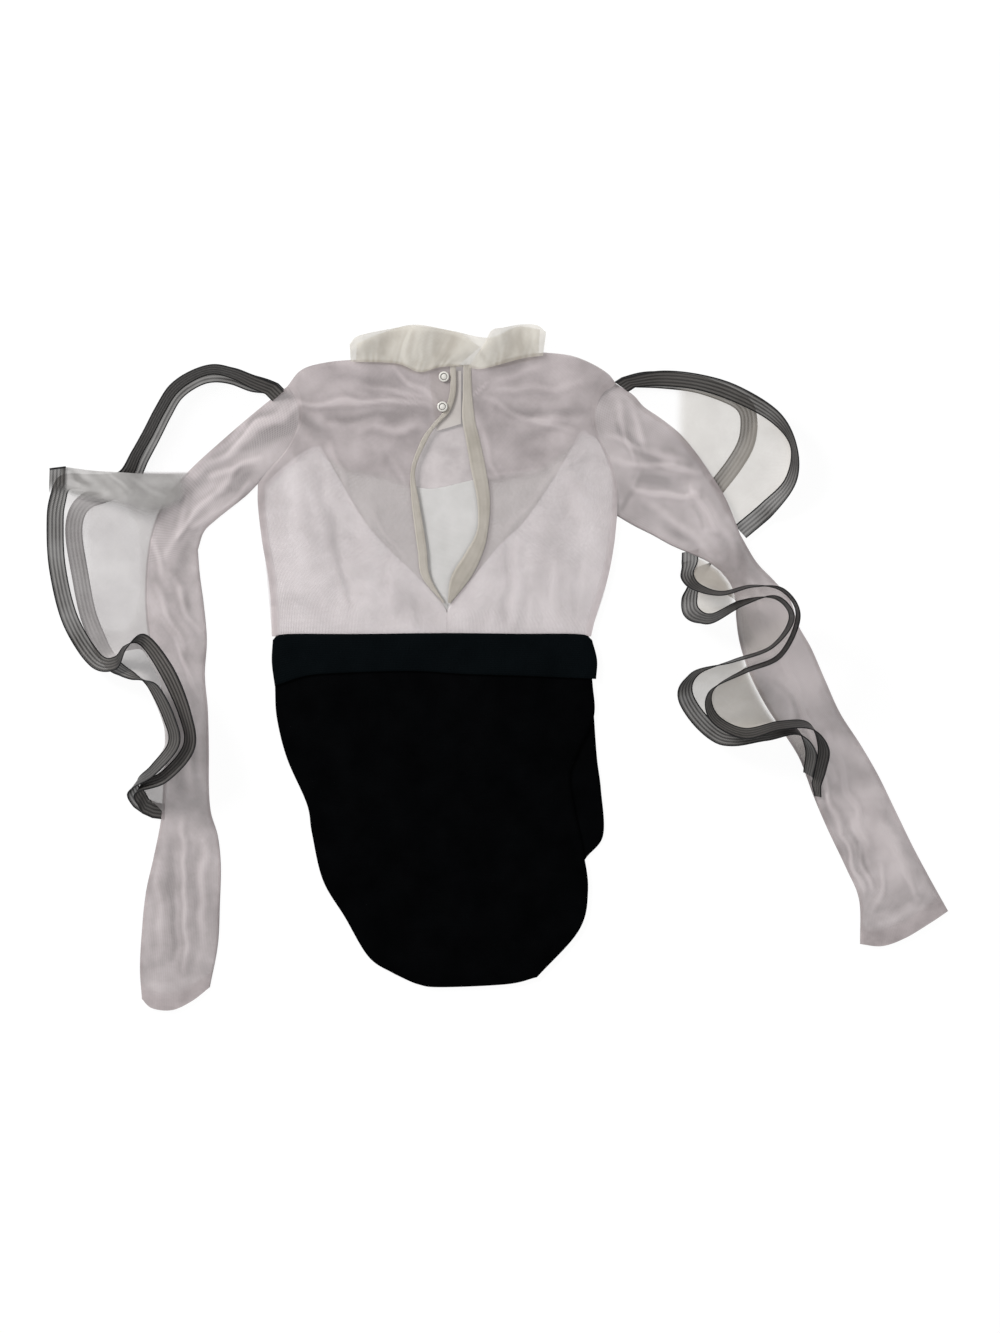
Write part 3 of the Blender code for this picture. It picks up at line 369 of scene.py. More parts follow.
def spaced(rows, count):
    """Points evenly spaced by length along the curve through the rows, count segments in all."""
    fine = 24 * (len(rows) - 1)
    points = [on_curve(rows, (len(rows) - 1) * k / fine) for k in range(fine + 1)]
    reach = [0.0]
    for p, q in zip(points, points[1:]):
        reach.append(reach[-1] + math.dist(p, q))
    result = []
    k = 0
    for n in range(count + 1):
        target = reach[-1] * n / count
        while k < fine - 1 and reach[k + 1] < target:
            k += 1
        step = reach[k + 1] - reach[k]
        result.append(between(points[k], points[k + 1], (target - reach[k]) / step))
    return result


def patch(top, bottom, left, right, hold=1.0):
    """Plan grid that fills the outline of four seam lines."""
    rows, columns = len(left) - 1, len(top) - 1
    grid = []
    for r in range(rows + 1):
        v = r / rows
        line = []
        for c in range(columns + 1):
            u = c / columns
            across = between(left[r], right[r], u)
            first = between(top[0], top[-1], u)
            final = between(bottom[0], bottom[-1], u)
            fade, grow = (1.0 - v) ** hold, v ** hold
            line.append(tuple(
                across[k] + (top[c][k] - first[k]) * fade + (bottom[c][k] - final[k]) * grow
                for k in (0, 1)
            ))
        grid.append(line)
    return grid


def wander(x, y):
    """Plan position pushed about so that folds don't run straight."""
    return (x + 7.0 * noise.noise(Vector((x / 30.0, y / 30.0, 40.0))),
            y + 7.0 * noise.noise(Vector((x / 30.0, y / 30.0, 60.0))))


def ridge_height(ridges, x, y):
    """Height of all the soft ridges at a plan position."""
    x, y = wander(x, y)
    total = 0.0
    for ridge in ridges:
        dx, dy = ridge.x2 - ridge.x1, ridge.y2 - ridge.y1
        t = ((x - ridge.x1) * dx + (y - ridge.y1) * dy) / (dx * dx + dy * dy)
        t = min(max(t, 0.0), 1.0)
        away = math.dist((x, y), (ridge.x1 + t * dx, ridge.y1 + t * dy)) / ridge.width
        if away < 3.0:
            total += ridge.height * math.exp(-away * away)
    return total


def painted_crease_shading(ridges, x, y):
    """Painted light on the crest of each ridge and painted shade beside it and in hollows, about -1 to 1."""
    x, y = wander(x, y)
    total = 0.0
    for ridge in ridges:
        dx, dy = ridge.x2 - ridge.x1, ridge.y2 - ridge.y1
        t = ((x - ridge.x1) * dx + (y - ridge.y1) * dy) / (dx * dx + dy * dy)
        fade = 1.0 - 0.6 * min(max(abs(t - 0.5) * 2.0, 0.0), 1.0) ** 2
        t = min(max(t, 0.0), 1.0)
        away = math.dist((x, y), (ridge.x1 + t * dx, ridge.y1 + t * dy)) / ridge.width
        if away < 4.0:
            share = math.exp(-1.9 * away * away) - 0.3 * math.exp(-(away - 1.4) ** 2 * 2.4)
            total += ridge.height / 1.8 * share * fade
    return min(max(total, -1.3), 1.3)


def rumple(x, y, scale, seed):
    """Small even unevenness of cloth, from 0 to 1."""
    return 0.5 + 0.5 * noise.noise(Vector((x / scale, y / scale, seed)))


def inside(u, v):
    """Envelope that is 0 on the edges of a panel and 1 in its middle."""
    return (1.0 - (2.0 * u - 1.0) ** 6) * (1.0 - (2.0 * v - 1.0) ** 8)


def tucked(points, first, last):
    """Points whose first or last rows reach a few millimetres further, under the next piece."""
    rows = len(points) - 1
    result = []
    for r, line in enumerate(points):
        shift = last * smooth((r / rows - 0.95) / 0.05) - first * smooth((0.05 - r / rows) / 0.05)
        result.append([(x, y + shift, z) for x, y, z in line])
    return result


def place(x, y, z):
    """Frame position of a point given in photo millimetres and height."""
    return Vector(((x - ORIGIN_X) * MM, (ORIGIN_Y - y) * MM, z * MM))


def linked(name, data):
    """New object of the scene around its data."""
    made = bpy.data.objects.new(name, data)
    bpy.context.scene.collection.objects.link(made)
    return made


def surface(name, grid, look, closed=False, layers=None, fold_shading=None):
    """Smooth mesh over a grid of points in millimetres, with its own lengths as its texture map."""
    rows, columns = len(grid), len(grid[0])
    mesh = bpy.data.meshes.new(name)
    spans = columns if closed else columns - 1
    faces = []
    for r in range(rows - 1):
        for c in range(spans):
            a, b = r * columns + c, r * columns + (c + 1) % columns
            faces.append((a, a + columns, b + columns, b))
    mesh.from_pydata([place(*p) for line in grid for p in line], [], faces)
    across, along = [0.0], [0.0]
    mid_row, mid_column = grid[rows // 2], columns // 2
    for c in range(1, columns + 1):
        across.append(across[-1] + math.dist(mid_row[c - 1], mid_row[c % columns]) * MM)
    for r in range(1, rows):
        along.append(along[-1] + math.dist(grid[r - 1][mid_column], grid[r][mid_column]) * MM)
    uv = mesh.uv_layers.new(name="UVMap")
    flat = []
    for r in range(rows - 1):
        for c in range(spans):
            for i, j in ((r, c), (r + 1, c), (r + 1, c + 1), (r, c + 1)):
                flat += [across[j], along[i]]
    uv.data.foreach_set("uv", flat)
    # Layers of cloth for the see-through, and the painted light and shade of folds
    for label, values, plain in (("layers", layers, 1.0), ("fold_shading", fold_shading, 0.0)):
        flat = [plain] * (rows * columns) if values is None else [v for line in values for v in line]
        mesh.attributes.new(label, "FLOAT", "POINT").data.foreach_set("value", flat)
    mesh.shade_smooth()
    mesh.materials.append(look)
    return linked(name, mesh)


def cut_size(grid):
    """Longest width and length of a grid of points in metres, and its area from the mean ones."""
    rows, columns = len(grid), len(grid[0])
    wide = [sum(math.dist(p, q) for p, q in zip(line, line[1:])) for line in grid]
    long = [sum(math.dist(grid[r][c], grid[r + 1][c]) for r in range(rows - 1)) for c in range(columns)]
    return max(wide) * MM, max(long) * MM, sum(wide) / rows * sum(long) / columns * MM * MM


def steepness(grid, most=2.2):
    """How many layers of cloth a look straight down meets at each point of a grid."""
    last_row, last_column = len(grid) - 1, len(grid[0]) - 1
    result = []
    for r, line in enumerate(grid):
        counts = []
        for c in range(last_column + 1):
            across = Vector(line[min(c + 1, last_column)]) - Vector(line[max(c - 1, 0)])
            along = Vector(grid[min(r + 1, last_row)][c]) - Vector(grid[max(r - 1, 0)][c])
            normal = across.cross(along)
            level = abs(normal.z) / max(normal.length, 1e-9)
            counts.append(min(1.0 / max(level, 0.2), most))
        result.append(counts)
    return result


class Look:
    """A material with its node tree, built a node at a time."""

    def __init__(self, name, **values):
        self.material = bpy.data.materials.new(name)
        self.material.use_nodes = True
        self.tree = self.material.node_tree
        self.shader = self.tree.nodes["Principled BSDF"]
        for key, value in values.items():
            self.shader.inputs[key.replace("_", " ")].default_value = value

    def node(self, kind, values=None, **settings):
        made = self.tree.nodes.new("ShaderNode" + kind)
        for key, value in settings.items():
            setattr(made, key, value)
        for key, value in (values or {}).items():
            made.inputs[key].default_value = value
        return made

    def link(self, source, target):
        self.tree.links.new(source, target)

    def math(self, operation, a, b=None):
        made = self.node("Math", operation=operation)
        for socket, value in zip(made.inputs, (a, b)):
            if value is None:
                continue
            if isinstance(value, (int, float)):
                socket.default_value = value
            else:
                self.link(value, socket)
        return made.outputs[0]

    def uv(self):
        """Texture map, whose unit is a metre along the cloth."""
        return self.node("UVMap", uv_map="UVMap").outputs["UV"]

    def place(self):
        """Object position."""
        return self.node("TexCoord").outputs["Object"]

    def attribute(self, name):
        """Values kept at the points of the mesh."""
        return self.node("Attribute", attribute_type="GEOMETRY", attribute_name=name).outputs["Fac"]

    def noise(self, vector, scale, detail=2.0, rough=0.5):
        made = self.node("TexNoise", {"Scale": scale, "Detail": detail, "Roughness": rough})
        self.link(vector, made.inputs["Vector"])
        return made.outputs["Fac"]

    def wave(self, vector, scale, direction, distortion=0.0):
        made = self.node("TexWave", {"Scale": scale, "Distortion": distortion},
                         wave_type="BANDS", bands_direction=direction, wave_profile="SIN")
        self.link(vector, made.inputs["Vector"])
        return made.outputs["Fac"]

    def remap(self, value, low, high, from_low=0.0, from_high=1.0):
        made = self.node("MapRange", {"From Min": from_low, "From Max": from_high,
                                      "To Min": low, "To Max": high})
        self.link(value, made.inputs["Value"])
        return made.outputs["Result"]

    def mix(self, factor, a, b):
        """Blend of two colours, each a socket or red, green and blue."""
        made = self.node("Mix", data_type="RGBA")
        for socket, value in ((made.inputs["Factor"], factor), (made.inputs["A"], a), (made.inputs["B"], b)):
            if isinstance(value, tuple):
                socket.default_value = (*value, 1.0)
            else:
                self.link(value, socket)
        return made.outputs["Result"]

    def coloured(self, factor, a, b):
        self.link(self.mix(factor, a, b), self.shader.inputs["Base Color"])

    def covered(self, single):
        """Share of what lies behind that the cloth covers, from the share of one layer of it."""
        passed = self.math("POWER", self.math("SUBTRACT", 1.0, single), self.attribute("layers"))
        self.link(self.math("SUBTRACT", 1.0, passed), self.shader.inputs["Alpha"])

    def bump(self, height, distance, strength=1.0):
        made = self.node("Bump", {"Distance": distance, "Strength": strength})
        self.link(height, made.inputs["Height"])
        self.link(made.outputs["Normal"], self.shader.inputs["Normal"])


def shaded_colour_mix(look, broad, lit_tint, shade):
    """Base colour from the lit tint to the shade colour: painted highlight on crests and painted shade in
    hollows, with soft random clouds between.
    """
    clouds = look.remap(broad, 0.12, 0.88, 0.3, 0.7)
    fold_shading = look.math("MULTIPLY", look.attribute("fold_shading"), FOLD_SHADING_SHARE)
    look.coloured(look.math("SUBTRACT", clouds, fold_shading), lit_tint, shade)


def sheer(name, lit_tint, shade, single, net=260.0):
    """Fine net whose threads cover a share of what lies behind it, more where layers meet."""
    look = Look(name, Roughness=0.7, Sheen_Weight=0.2, Sheen_Roughness=0.5, Specular_IOR_Level=0.2)
    broad = look.noise(look.place(), 26.0, 4.0, 0.6)
    shaded_colour_mix(look, broad, lit_tint, shade)
    lattice = look.uv()
    threads = look.math("ADD", look.wave(lattice, net, "X"), look.wave(lattice, net, "Y"))
    cover = look.remap(threads, single * 0.86, single * 1.14, 0.0, 2.0)
    look.covered(look.math("MULTIPLY", cover, look.remap(broad, 0.94, 1.06, 0.3, 0.7)))
    look.bump(threads, 0.0001, 0.5)
    return look.material


def cloth(name, lit_tint, shade, sheen, weave=320.0, depth=0.0002, roughness=0.85, gloss=0.25):
    """Closed fabric with a fine knit and soft unevenness of tone."""
    look = Look(name, Roughness=roughness, Sheen_Weight=sheen, Sheen_Roughness=0.4, Specular_IOR_Level=gloss)
    shaded_colour_mix(look, look.noise(look.place(), 30.0, 4.0, 0.6), lit_tint, shade)
    lattice = look.uv()
    threads = look.math("MULTIPLY", look.wave(lattice, weave, "X", 1.0),
                        look.wave(lattice, weave * 0.8, "Y", 1.0))
    fine = look.noise(lattice, 1500.0)
    look.bump(look.math("ADD", threads, look.math("MULTIPLY", fine, 0.5)), depth, 0.8)
    return look.material


# Each look has a lit tint and a shade colour: random clouds mix them, and where a piece has fold shading they
# give its painted highlights and painted shade
MESH = sheer("mesh_cloth", (0.62, 0.55, 0.555), (0.31, 0.27, 0.27), 0.54)
FLOUNCE = sheer("flounce_cloth", (0.62, 0.575, 0.52), (0.44, 0.40, 0.35), 0.30)
LEFT_FLOUNCE = sheer("left_flounce_cloth", (0.60, 0.57, 0.565), (0.42, 0.39, 0.39), 0.30)
FOLD = sheer("flounce_fold_cloth", (0.50, 0.485, 0.475), (0.29, 0.28, 0.27), 0.30)
LINING = cloth("lining_cloth", (0.97, 0.95, 0.96), (0.84, 0.81, 0.815), 0.1)
# The front lining is the back lining's white cloth painted darker: painted shade inside the garment, under
# its back
SHADED_INNER_LINING = cloth("shaded_inner_lining_cloth", (0.72, 0.705, 0.695), (0.60, 0.59, 0.575), 0.1)
RUFFLE = sheer("ruffle_cloth", (0.66, 0.62, 0.545), (0.42, 0.38, 0.315), 0.60)
TAPE = cloth("binding_cloth", (0.58, 0.54, 0.485), (0.40, 0.365, 0.315), 0.2, 500.0, 0.0002, 0.75)
TAB = cloth("tab_cloth", (0.62, 0.58, 0.55), (0.48, 0.44, 0.42), 0.15, 500.0, 0.0001, 0.7)
KNIT = cloth("knit_cloth", (0.0018, 0.0020, 0.0024), (0.0004, 0.0005, 0.0007), 0.0, 280.0, 0.0003,
             0.9, 0.02)
BAND = cloth("band_cloth", (0.0026, 0.0042, 0.0052), (0.0012, 0.0022, 0.0028), 0.0, 220.0, 0.0004,
             0.9, 0.03)


def braid_look():
    """Stiff braid ribbed along its length, partly see-through, and darker where it stands on edge."""
    look = Look("braid", Roughness=0.45, Specular_IOR_Level=0.4)
    lattice = look.uv()
    slanted = look.node("Mapping", {"Rotation": (0.0, 0.0, math.radians(35.0))})
    look.link(lattice, slanted.inputs["Vector"])
    net = look.wave(slanted.outputs["Vector"], 210.0, "X")
    ribs = look.wave(lattice, 85.0, "X", 0.4)
    threads = look.math("ADD", ribs, look.math("MULTIPLY", net, 0.35))
    flat = look.mix(look.remap(threads, 0.0, 1.0, 0.1, 1.2), (0.018, 0.016, 0.015), (0.110, 0.102, 0.094))
    look.coloured(look.remap(look.attribute("layers"), 0.0, 1.0, 1.2, 2.8), flat, (0.014, 0.014, 0.015))
    patchy = look.remap(look.noise(look.place(), 22.0, 3.0), 0.92, 1.08, 0.3, 0.7)
    look.covered(look.math("MULTIPLY", look.remap(threads, 0.96, 0.84, 0.1, 1.2), patchy))
    look.bump(threads, 0.0003, 0.8)
    return look.material


def plastic(name, roughness, clouds, dark, light, grain=None):
    """Moulded plastic with faint clouds, and a fine grain where one is given."""
    look = Look(name, Roughness=roughness)
    broad = look.noise(look.place(), clouds, 3.0)
    look.coloured(broad, dark, light)
    look.bump(look.noise(look.place(), grain) if grain else broad, 0.00005, 0.4)
    return look.material


BUTTON = plastic("button_plastic", 0.3, 180.0, (0.70, 0.68, 0.63), (0.80, 0.78, 0.74), 900.0)
# Dark plastic lining each button's groove: painted shadow in the recess
GROOVE_SHADE = plastic("button_groove_shade", 0.6, 300.0, (0.10, 0.09, 0.08), (0.16, 0.15, 0.13))
BRAID = braid_look()
CORD = cloth("braid_cord", (0.010, 0.010, 0.011), (0.006, 0.006, 0.007), 0.0, 700.0, 0.0001, 0.6)


def keep(piece, slot, *nodes):
    """The piece rides on the garment and stands for its solids."""
    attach(piece, "root")
    if nodes:
        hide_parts(*nodes)


def declare(grid):
    """Work out the flat cut of a sheet, rounded up to whole centimetres, and its area, without keeping them.
    """
    wide, long, area = cut_size(grid)
    width, length = (math.ceil(x * 100.0) / 100.0 for x in (wide, long))
    area = min(max(area, 0.31 * width * length), width * length)


def fitted(top, bottom, left, right, columns, rows):
    """Plan grid between four seam lines, with its points evenly spaced along each."""
    return patch(spaced(top, columns), spaced(bottom, columns), spaced(left, rows), spaced(right, rows))


def panel(grid, height):
    """Points over a plan grid, with heights as a function of x, y, u and v."""
    rows, columns = len(grid) - 1, len(grid[0]) - 1
    return [
        [(x, y, height(x, y, c / columns, r / rows)) for c, (x, y) in enumerate(line)]
        for r, line in enumerate(grid)
    ]


def near_edges(points, reach, *edges):
    """1 within a reach in millimetres of the named edges of a grid of points, fading to 0."""
    result = []
    for line in points:
        values = []
        for c, p in enumerate(line):
            ends = {"left": line[0], "right": line[-1], "bottom": points[-1][c]}
            away = min(math.dist(p[:2], ends[edge][:2]) for edge in edges)
            values.append(smooth((reach * 1.4 - away) / (reach * 0.6)))
        result.append(values)
    return result


def added(*grids):
    """Sum of several grids of values."""
    return [[sum(values) for values in zip(*lines)] for lines in zip(*grids)]


def scaled(grid, by):
    """Grid of values times a number."""
    return [[by * value for value in line] for line in grid]


def crease_shading_grid(points, ridges):
    """Painted light and shade of the folds over a grid of points."""
    return [[painted_crease_shading(ridges, x, y) for x, y, _ in line] for line in points]


# Torso
ROWS = 96
HALF = 56
SLIT = 84
left_side = spaced(ARMHOLE_LEFT, ROWS // 2) + spaced(SIDE_LEFT, ROWS // 2)[1:]
right_side = spaced(ARMHOLE_RIGHT, ROWS // 2) + spaced(SIDE_RIGHT, ROWS // 2)[1:]
left_outer, left_inner, right_inner, right_outer = (
    spaced([(getattr(row, edge), row.y) for row in OPENING], SLIT) for edge in Opening._fields[1:])
closure_left, closure_right = (
    edge + spaced([edge[-1], (CENTRE_X, 613), (CENTRE_X, WAIST_Y)], ROWS - SLIT)[1:]
    for edge in (left_outer, right_outer))
top_left = spaced(SHOULDER_LEFT, HALF // 2) + spaced(NECK_LEFT, HALF // 2)[1:]
top_right = spaced(NECK_RIGHT, HALF // 2) + spaced(SHOULDER_RIGHT, HALF // 2)[1:]


def torso(top, left, right, columns, height):
    """Points of a panel down to the waist, tucked under the waistband."""
    grid = patch(top, spaced([left[-1], right[-1]], columns), left, right)
    return tucked(panel(grid, height), 0.0, TUCK)


def back_height(x, y, u, v):
    soft = TORSO_PUFF + ridge_height(TORSO_RIDGES, x, y) + 0.7 * rumple(x, y, 26.0, 1.0)
    return BACK_Z + inside(u, v) * soft


def lining_height(x, y, u, v):
    soft = 0.5 * rumple(x, y, 22.0, 3.0) + 0.3 * ridge_height(LINING_RIDGES, x, y)
    return BACK_LINING_Z + inside(u, v) * soft


back_left_points = torso(top_left, left_side, closure_left, HALF, back_height)
back_right_points = torso(top_right, closure_right, right_side, HALF, back_height)
whole_top = spaced(SHOULDER_LEFT + NECK_LEFT[1:] + NECK_RIGHT + SHOULDER_RIGHT[1:], 64)
front_points = torso(whole_top, left_side, right_side, 64, lambda x, y, u, v: FRONT_Z)

lining_edges = [spaced(edge, 60) for edge in (LINING_LEFT_OUTER, LINING_LEFT_INNER, LINING_RIGHT_INNER,
                                              LINING_RIGHT_OUTER)]
lining_left_points, lining_right_points = (
    torso(spaced([left[0], right[0]], 28), left, right, 28, lining_height)
    for left, right in (lining_edges[:2], lining_edges[2:]))
front_lining_points = torso(
    spaced(FRONT_LINING_TOP, 56), lining_edges[0], lining_edges[-1], 56,
    lambda x, y, u, v: FRONT_LINING_Z + 0.4 * inside(u, v) * rumple(x, y, 24.0, 5.0))

for name, node, points, look, ridges, rests in (
    ("front_yoke", "front_mesh", front_points, MESH, TORSO_RIDGES, ()),
    ("front_lining_cloth", "front_lining", front_lining_points, SHADED_INNER_LINING, LINING_RIDGES, ("front_yoke",)),
    ("back_lining_left_cloth", "back_lining_left", lining_left_points, LINING, LINING_RIDGES,
     ("front_lining_cloth",)),
    ("back_lining_right_cloth", "back_lining_right", lining_right_points, LINING, LINING_RIDGES,
     ("front_lining_cloth",)),
):
    layers = [[FRONT_LAYERS] * len(line) for line in points] if look is MESH else None
    # Each piece carries the painted light and shade of its ridges
    piece = surface(name, points, look, layers=layers, fold_shading=crease_shading_grid(points, ridges))
    keep(piece, "mesh" if look is MESH else "lining", node)
    declare(points)


# Painted light and shade across a binding from its edge to its middle: painted highlight on the edge, painted
# shade along the sunk row of stitches, plain middle
TAPE_PAINTED_LIGHT = (0.3, 0.5, 0.1, -0.4, -0.1, 0.1, 0.1, 0.0, 0.0)
TAPE_COLUMNS = 16


def tape(name, outer, inner, node):
    """Binding folded over the edge of the opening, with a soft crown."""
    grid = patch(spaced([outer[0], inner[0]], TAPE_COLUMNS), spaced([outer[-1], inner[-1]], TAPE_COLUMNS),
                 outer, inner)
    points = panel(grid, lambda x, y, u, v: TAPE_Z + TAPE_CROWN * (1.0 - (2.0 * u - 1.0) ** 4) ** 0.5)
    # Painted edge highlight and stitch-row shade across the binding
    tape_shading = [TAPE_PAINTED_LIGHT[min(c, TAPE_COLUMNS - c)] for c in range(TAPE_COLUMNS + 1)]
    piece = surface(name, points, TAPE, fold_shading=[tape_shading] * len(points))
    keep(piece, "binding", node)
    return piece


# Share of the left binding's width that shows
LEFT_SHOWN = 0.6
left_shown = [between(p, q, LEFT_SHOWN) for p, q in zip(left_outer, left_inner)]
binding_left = tape("binding_left_tape", left_outer, left_shown, "binding_left")
binding_right = tape("binding_right_tape", right_inner, right_outer, "binding_right")


def at_height(line, y):
    """Plan x of a seam line at a plan y, or nothing above its upper end."""
    for (x0, y0), (x1, y1) in zip(line, line[1:]):
        if y0 <= y <= y1:
            return x0 + (x1 - x0) * (y - y0) / max(y1 - y0, 1e-6)
    return line[-1][0] if y > line[-1][1] else None


def over_lining(x, y):
    """1 where a lining lies under the yoke, fading to 0 at its edge."""
    share = 0.0
    for inner, outer, sign in (
        (LINING_LEFT_INNER, LINING_LEFT_OUTER, 1.0), (LINING_RIGHT_INNER, LINING_RIGHT_OUTER, -1.0),
    ):
        edge, side = at_height(inner, y), at_height(outer, y)
        if edge is not None and side is not None:
            share = max(share, smooth(sign * (edge - x) / 4.0) * smooth(sign * (x - side) / 9.0))
    level = at_height([(top_y, top_x) for top_x, top_y in FRONT_LINING_TOP], x)
    return max(share, 0.95 * smooth((y - level) / 4.0)) if level else share


# The side seams are lighter below this line in the photo
LOW_SEAM_FROM = 606
LOW_SEAM_TONE = 0.8
for name, points, node, binding, side in (
    ("back_yoke_left", back_left_points, "back_mesh_left", binding_left, "left"),
    ("back_yoke_right", back_right_points, "back_mesh_right", binding_right, "right"),
):
    seams = near_edges(points, SIDE_SEAM, side)
    light = [[(LOW_SEAM_TONE if p[1] > LOW_SEAM_FROM else 0.0) * s for p, s in zip(*lines)]
             for lines in zip(points, seams)]
    lined = [[over_lining(x, y) for x, y, _ in line] for line in points]
    layers = added(steepness(points), seams, scaled(lined, LINED_LAYERS))
    # Painted fold light and shade, lighter side seams low down, and the lining's lighter tone, partly painted
    # light thrown back from the lining
    fold_shading = added(crease_shading_grid(points, TORSO_RIDGES), light, scaled(lined, LINED_BOUNCE_LIGHT))
    piece = surface(name, points, MESH, layers=layers, fold_shading=fold_shading)
    keep(piece, "mesh", node)
    declare(points)


# Neck
# Collar creases that exist only as painted light on their crests and painted shade beside them
COLLAR_PAINTED_CREASES = [Ridge(*row) for row in (
    (409, 326, 404, 360, 2.5, 1.8), (415, 330, 411, 360, 4, -1.6), (477, 346, 486, 364, 3, -1.6),
    (361, 340, 366, 360, 4, 1.2), (385, 333, 388, 360, 5, -1.0), (436, 334, 431, 362, 3.5, 1.2),
    (453, 338, 446, 364, 3.5, -1.3), (500, 330, 500, 358, 3, 1.3), (520, 328, 523, 354, 4, -1.2),
    (534, 330, 538, 352, 3, 1.0), (424, 345, 421, 364, 2, 1.0),
)]
for ruffle in RUFFLES:
    columns, depth = round(ruffle.waves * 40), 18
    foot = spaced([(x, y + COLLAR_TUCK) for x, y in ruffle.foot], columns)
    edge = spaced(ruffle.edge, columns)
    plan = [[between(foot[c], edge[c], r / depth) for c in range(columns + 1)] for r in range(depth + 1)]

    def ruffle_height(x, y, u, v):
        swell = math.sin(2.0 * math.pi * ruffle.waves * u)
        gather = math.sin(2.0 * math.pi * ruffle.waves * 3.3 * u + 1.3) * (1.0 - smooth(v * 1.6))
        lift = 0.4 * rumple(x, y, 12.0, 8.0)
        return (ruffle.rest + 0.5 + ruffle.swing * smooth(v * 1.4) * (1.0 + swell) + 0.3 * (1.0 + gather)
                + lift)

    def ruffle_painted_shading(r, c):
        """Random clouds, painted light and shade that follow the broad waves and grow to the edge, painted
        light and shade of fine gathers at the foot, a light hem, and painted crease light and shade.
        """
        clouds = 0.8 * (rumple(c * 5.0, r * 2.0, 14.0, 21.0) - 0.5)
        waves = 0.9 * math.sin(2.0 * math.pi * ruffle.waves * c / columns) * (0.3 + 0.5 * r / depth)
        gathers = 0.5 * math.sin(c * 0.9 + 2.0 * math.sin(c * 0.31)) * (1.0 - smooth(r / depth * 2.2))
        return (clouds + waves + gathers + (0.6 if r > depth - 2 else 0.0)
                + painted_crease_shading(COLLAR_PAINTED_CREASES, *plan[r][c]))

    points = panel(plan, ruffle_height)
    ruffle_shading = [[ruffle_painted_shading(r, c) for c in range(columns + 1)] for r in range(depth + 1)]
    piece = surface(ruffle.name + "_cloth", points, RUFFLE, fold_shading=ruffle_shading)
    keep(piece, "ruffle", ruffle.name)
    declare(points)


# Button tab under the opening
TAB_LEFT = [(430, 373), (432, 400), (437, 431)]
TAB_RIGHT = [(461, 371), (461, 395), (461, 424)]
tab_plan = fitted([TAB_LEFT[0], TAB_RIGHT[0]], [TAB_LEFT[-1], TAB_RIGHT[-1]], TAB_LEFT, TAB_RIGHT, 12, 20)
tab_points = panel(tab_plan, lambda x, y, u, v: TAB_Z)
tab = surface("button_tab_cloth", tab_points, TAB)
keep(tab, "binding", "button_tab")
declare(tab_points)


def turned(name, centre, profile, looks, segments=56):
    """Round piece turned from a profile of radius, height and look index."""
    bm = bmesh.new()
    rings = []
    for radius, height, _ in profile:
        if radius < 1e-6:
            rings.append([bm.verts.new(place(centre[0], centre[1], height))])
            continue
        rings.append([
            bm.verts.new(place(centre[0] + radius * math.cos(2.0 * math.pi * k / segments),
                               centre[1] + radius * math.sin(2.0 * math.pi * k / segments), height))
            for k in range(segments)
        ])
    for (a, b), (_, _, index) in zip(zip(rings, rings[1:]), profile):
        for k in range(segments):
            j = (k + 1) % segments
            corners = [a[k % len(a)], a[j % len(a)], b[j % len(b)], b[k % len(b)]]
            face = bm.faces.new(list(dict.fromkeys(corners)))
            face.material_index = index
            face.smooth = True
    bmesh.ops.recalc_face_normals(bm, faces=bm.faces[:])
    mesh = bpy.data.meshes.new(name)
    bm.to_mesh(mesh)
    bm.free()
    for look in looks:
        mesh.materials.append(look)
    return linked(name, mesh)


for node in ("button_upper", "button_lower"):
    low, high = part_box(node)
    cx, cy = (low.x + high.x) / 2.0 / MM + ORIGIN_X, ORIGIN_Y - (low.y + high.y) / 2.0 / MM
    foot, crown, radius = low.z / MM, high.z / MM, (high.x - low.x) / 2.0 / MM
    # Faces with look 1 line the groove and carry its painted shadow
    profile = [
        (0.0, foot, 0), (radius - 0.6, foot, 0), (radius, foot + 0.5, 0), (radius, crown - 0.6, 0),
        (radius - 0.5, crown - 0.1, 0), (radius - 1.2, crown, 0), (radius - 1.7, crown - 0.1, 1),
        (radius - 2.0, crown - 0.7, 1), (radius - 2.5, crown - 0.7, 0), (radius - 2.9, crown - 0.4, 0),
        (0.0, crown - 0.3, 0),
    ]
    piece = turned(node + "_moulded", (cx, cy), profile, (BUTTON, GROOVE_SHADE))
    keep(piece, "button", node)


# Waistband and brief
def knit(name, points, look, slot, node, thickness):
    """Knit panel with a real thickness."""
    piece = surface(name, points, look)
    solid = piece.modifiers.new("thickness", "SOLIDIFY")
    solid.thickness = thickness * MM
    solid.offset = 0.0
    keep(piece, slot, node)
    declare(points)


def band_height(x, y, u, v):
    return BAND_BACK_Z + 0.7 * inside(u, v) + 0.5 * rumple(x, y, 30.0, 2.0)


band_plan = fitted(BAND_TOP, BAND_BOTTOM, BAND_LEFT, BAND_RIGHT, 120, 24)
band_low = panel(band_plan, lambda x, y, u, v: BAND_FRONT_Z)
band_high = panel(band_plan, band_height)
knit("waistband_front_knit", band_low, BAND, "band", "waistband_front", BAND_THICK)
knit("waistband_back_knit", band_high, BAND, "band", "waistband_back", BAND_THICK)

BRIEF_RIDGES = [Ridge(*row) for row in (
    (305, 718, 299, 778, 5, 0.9), (366, 933, 412, 945, 4, 1.2), (340, 700, 360, 830, 12, 1.1),
    (470, 690, 440, 860, 14, 1.0), (560, 700, 520, 800, 10, 1.1), (420, 900, 540, 890, 10, 0.9),
)]


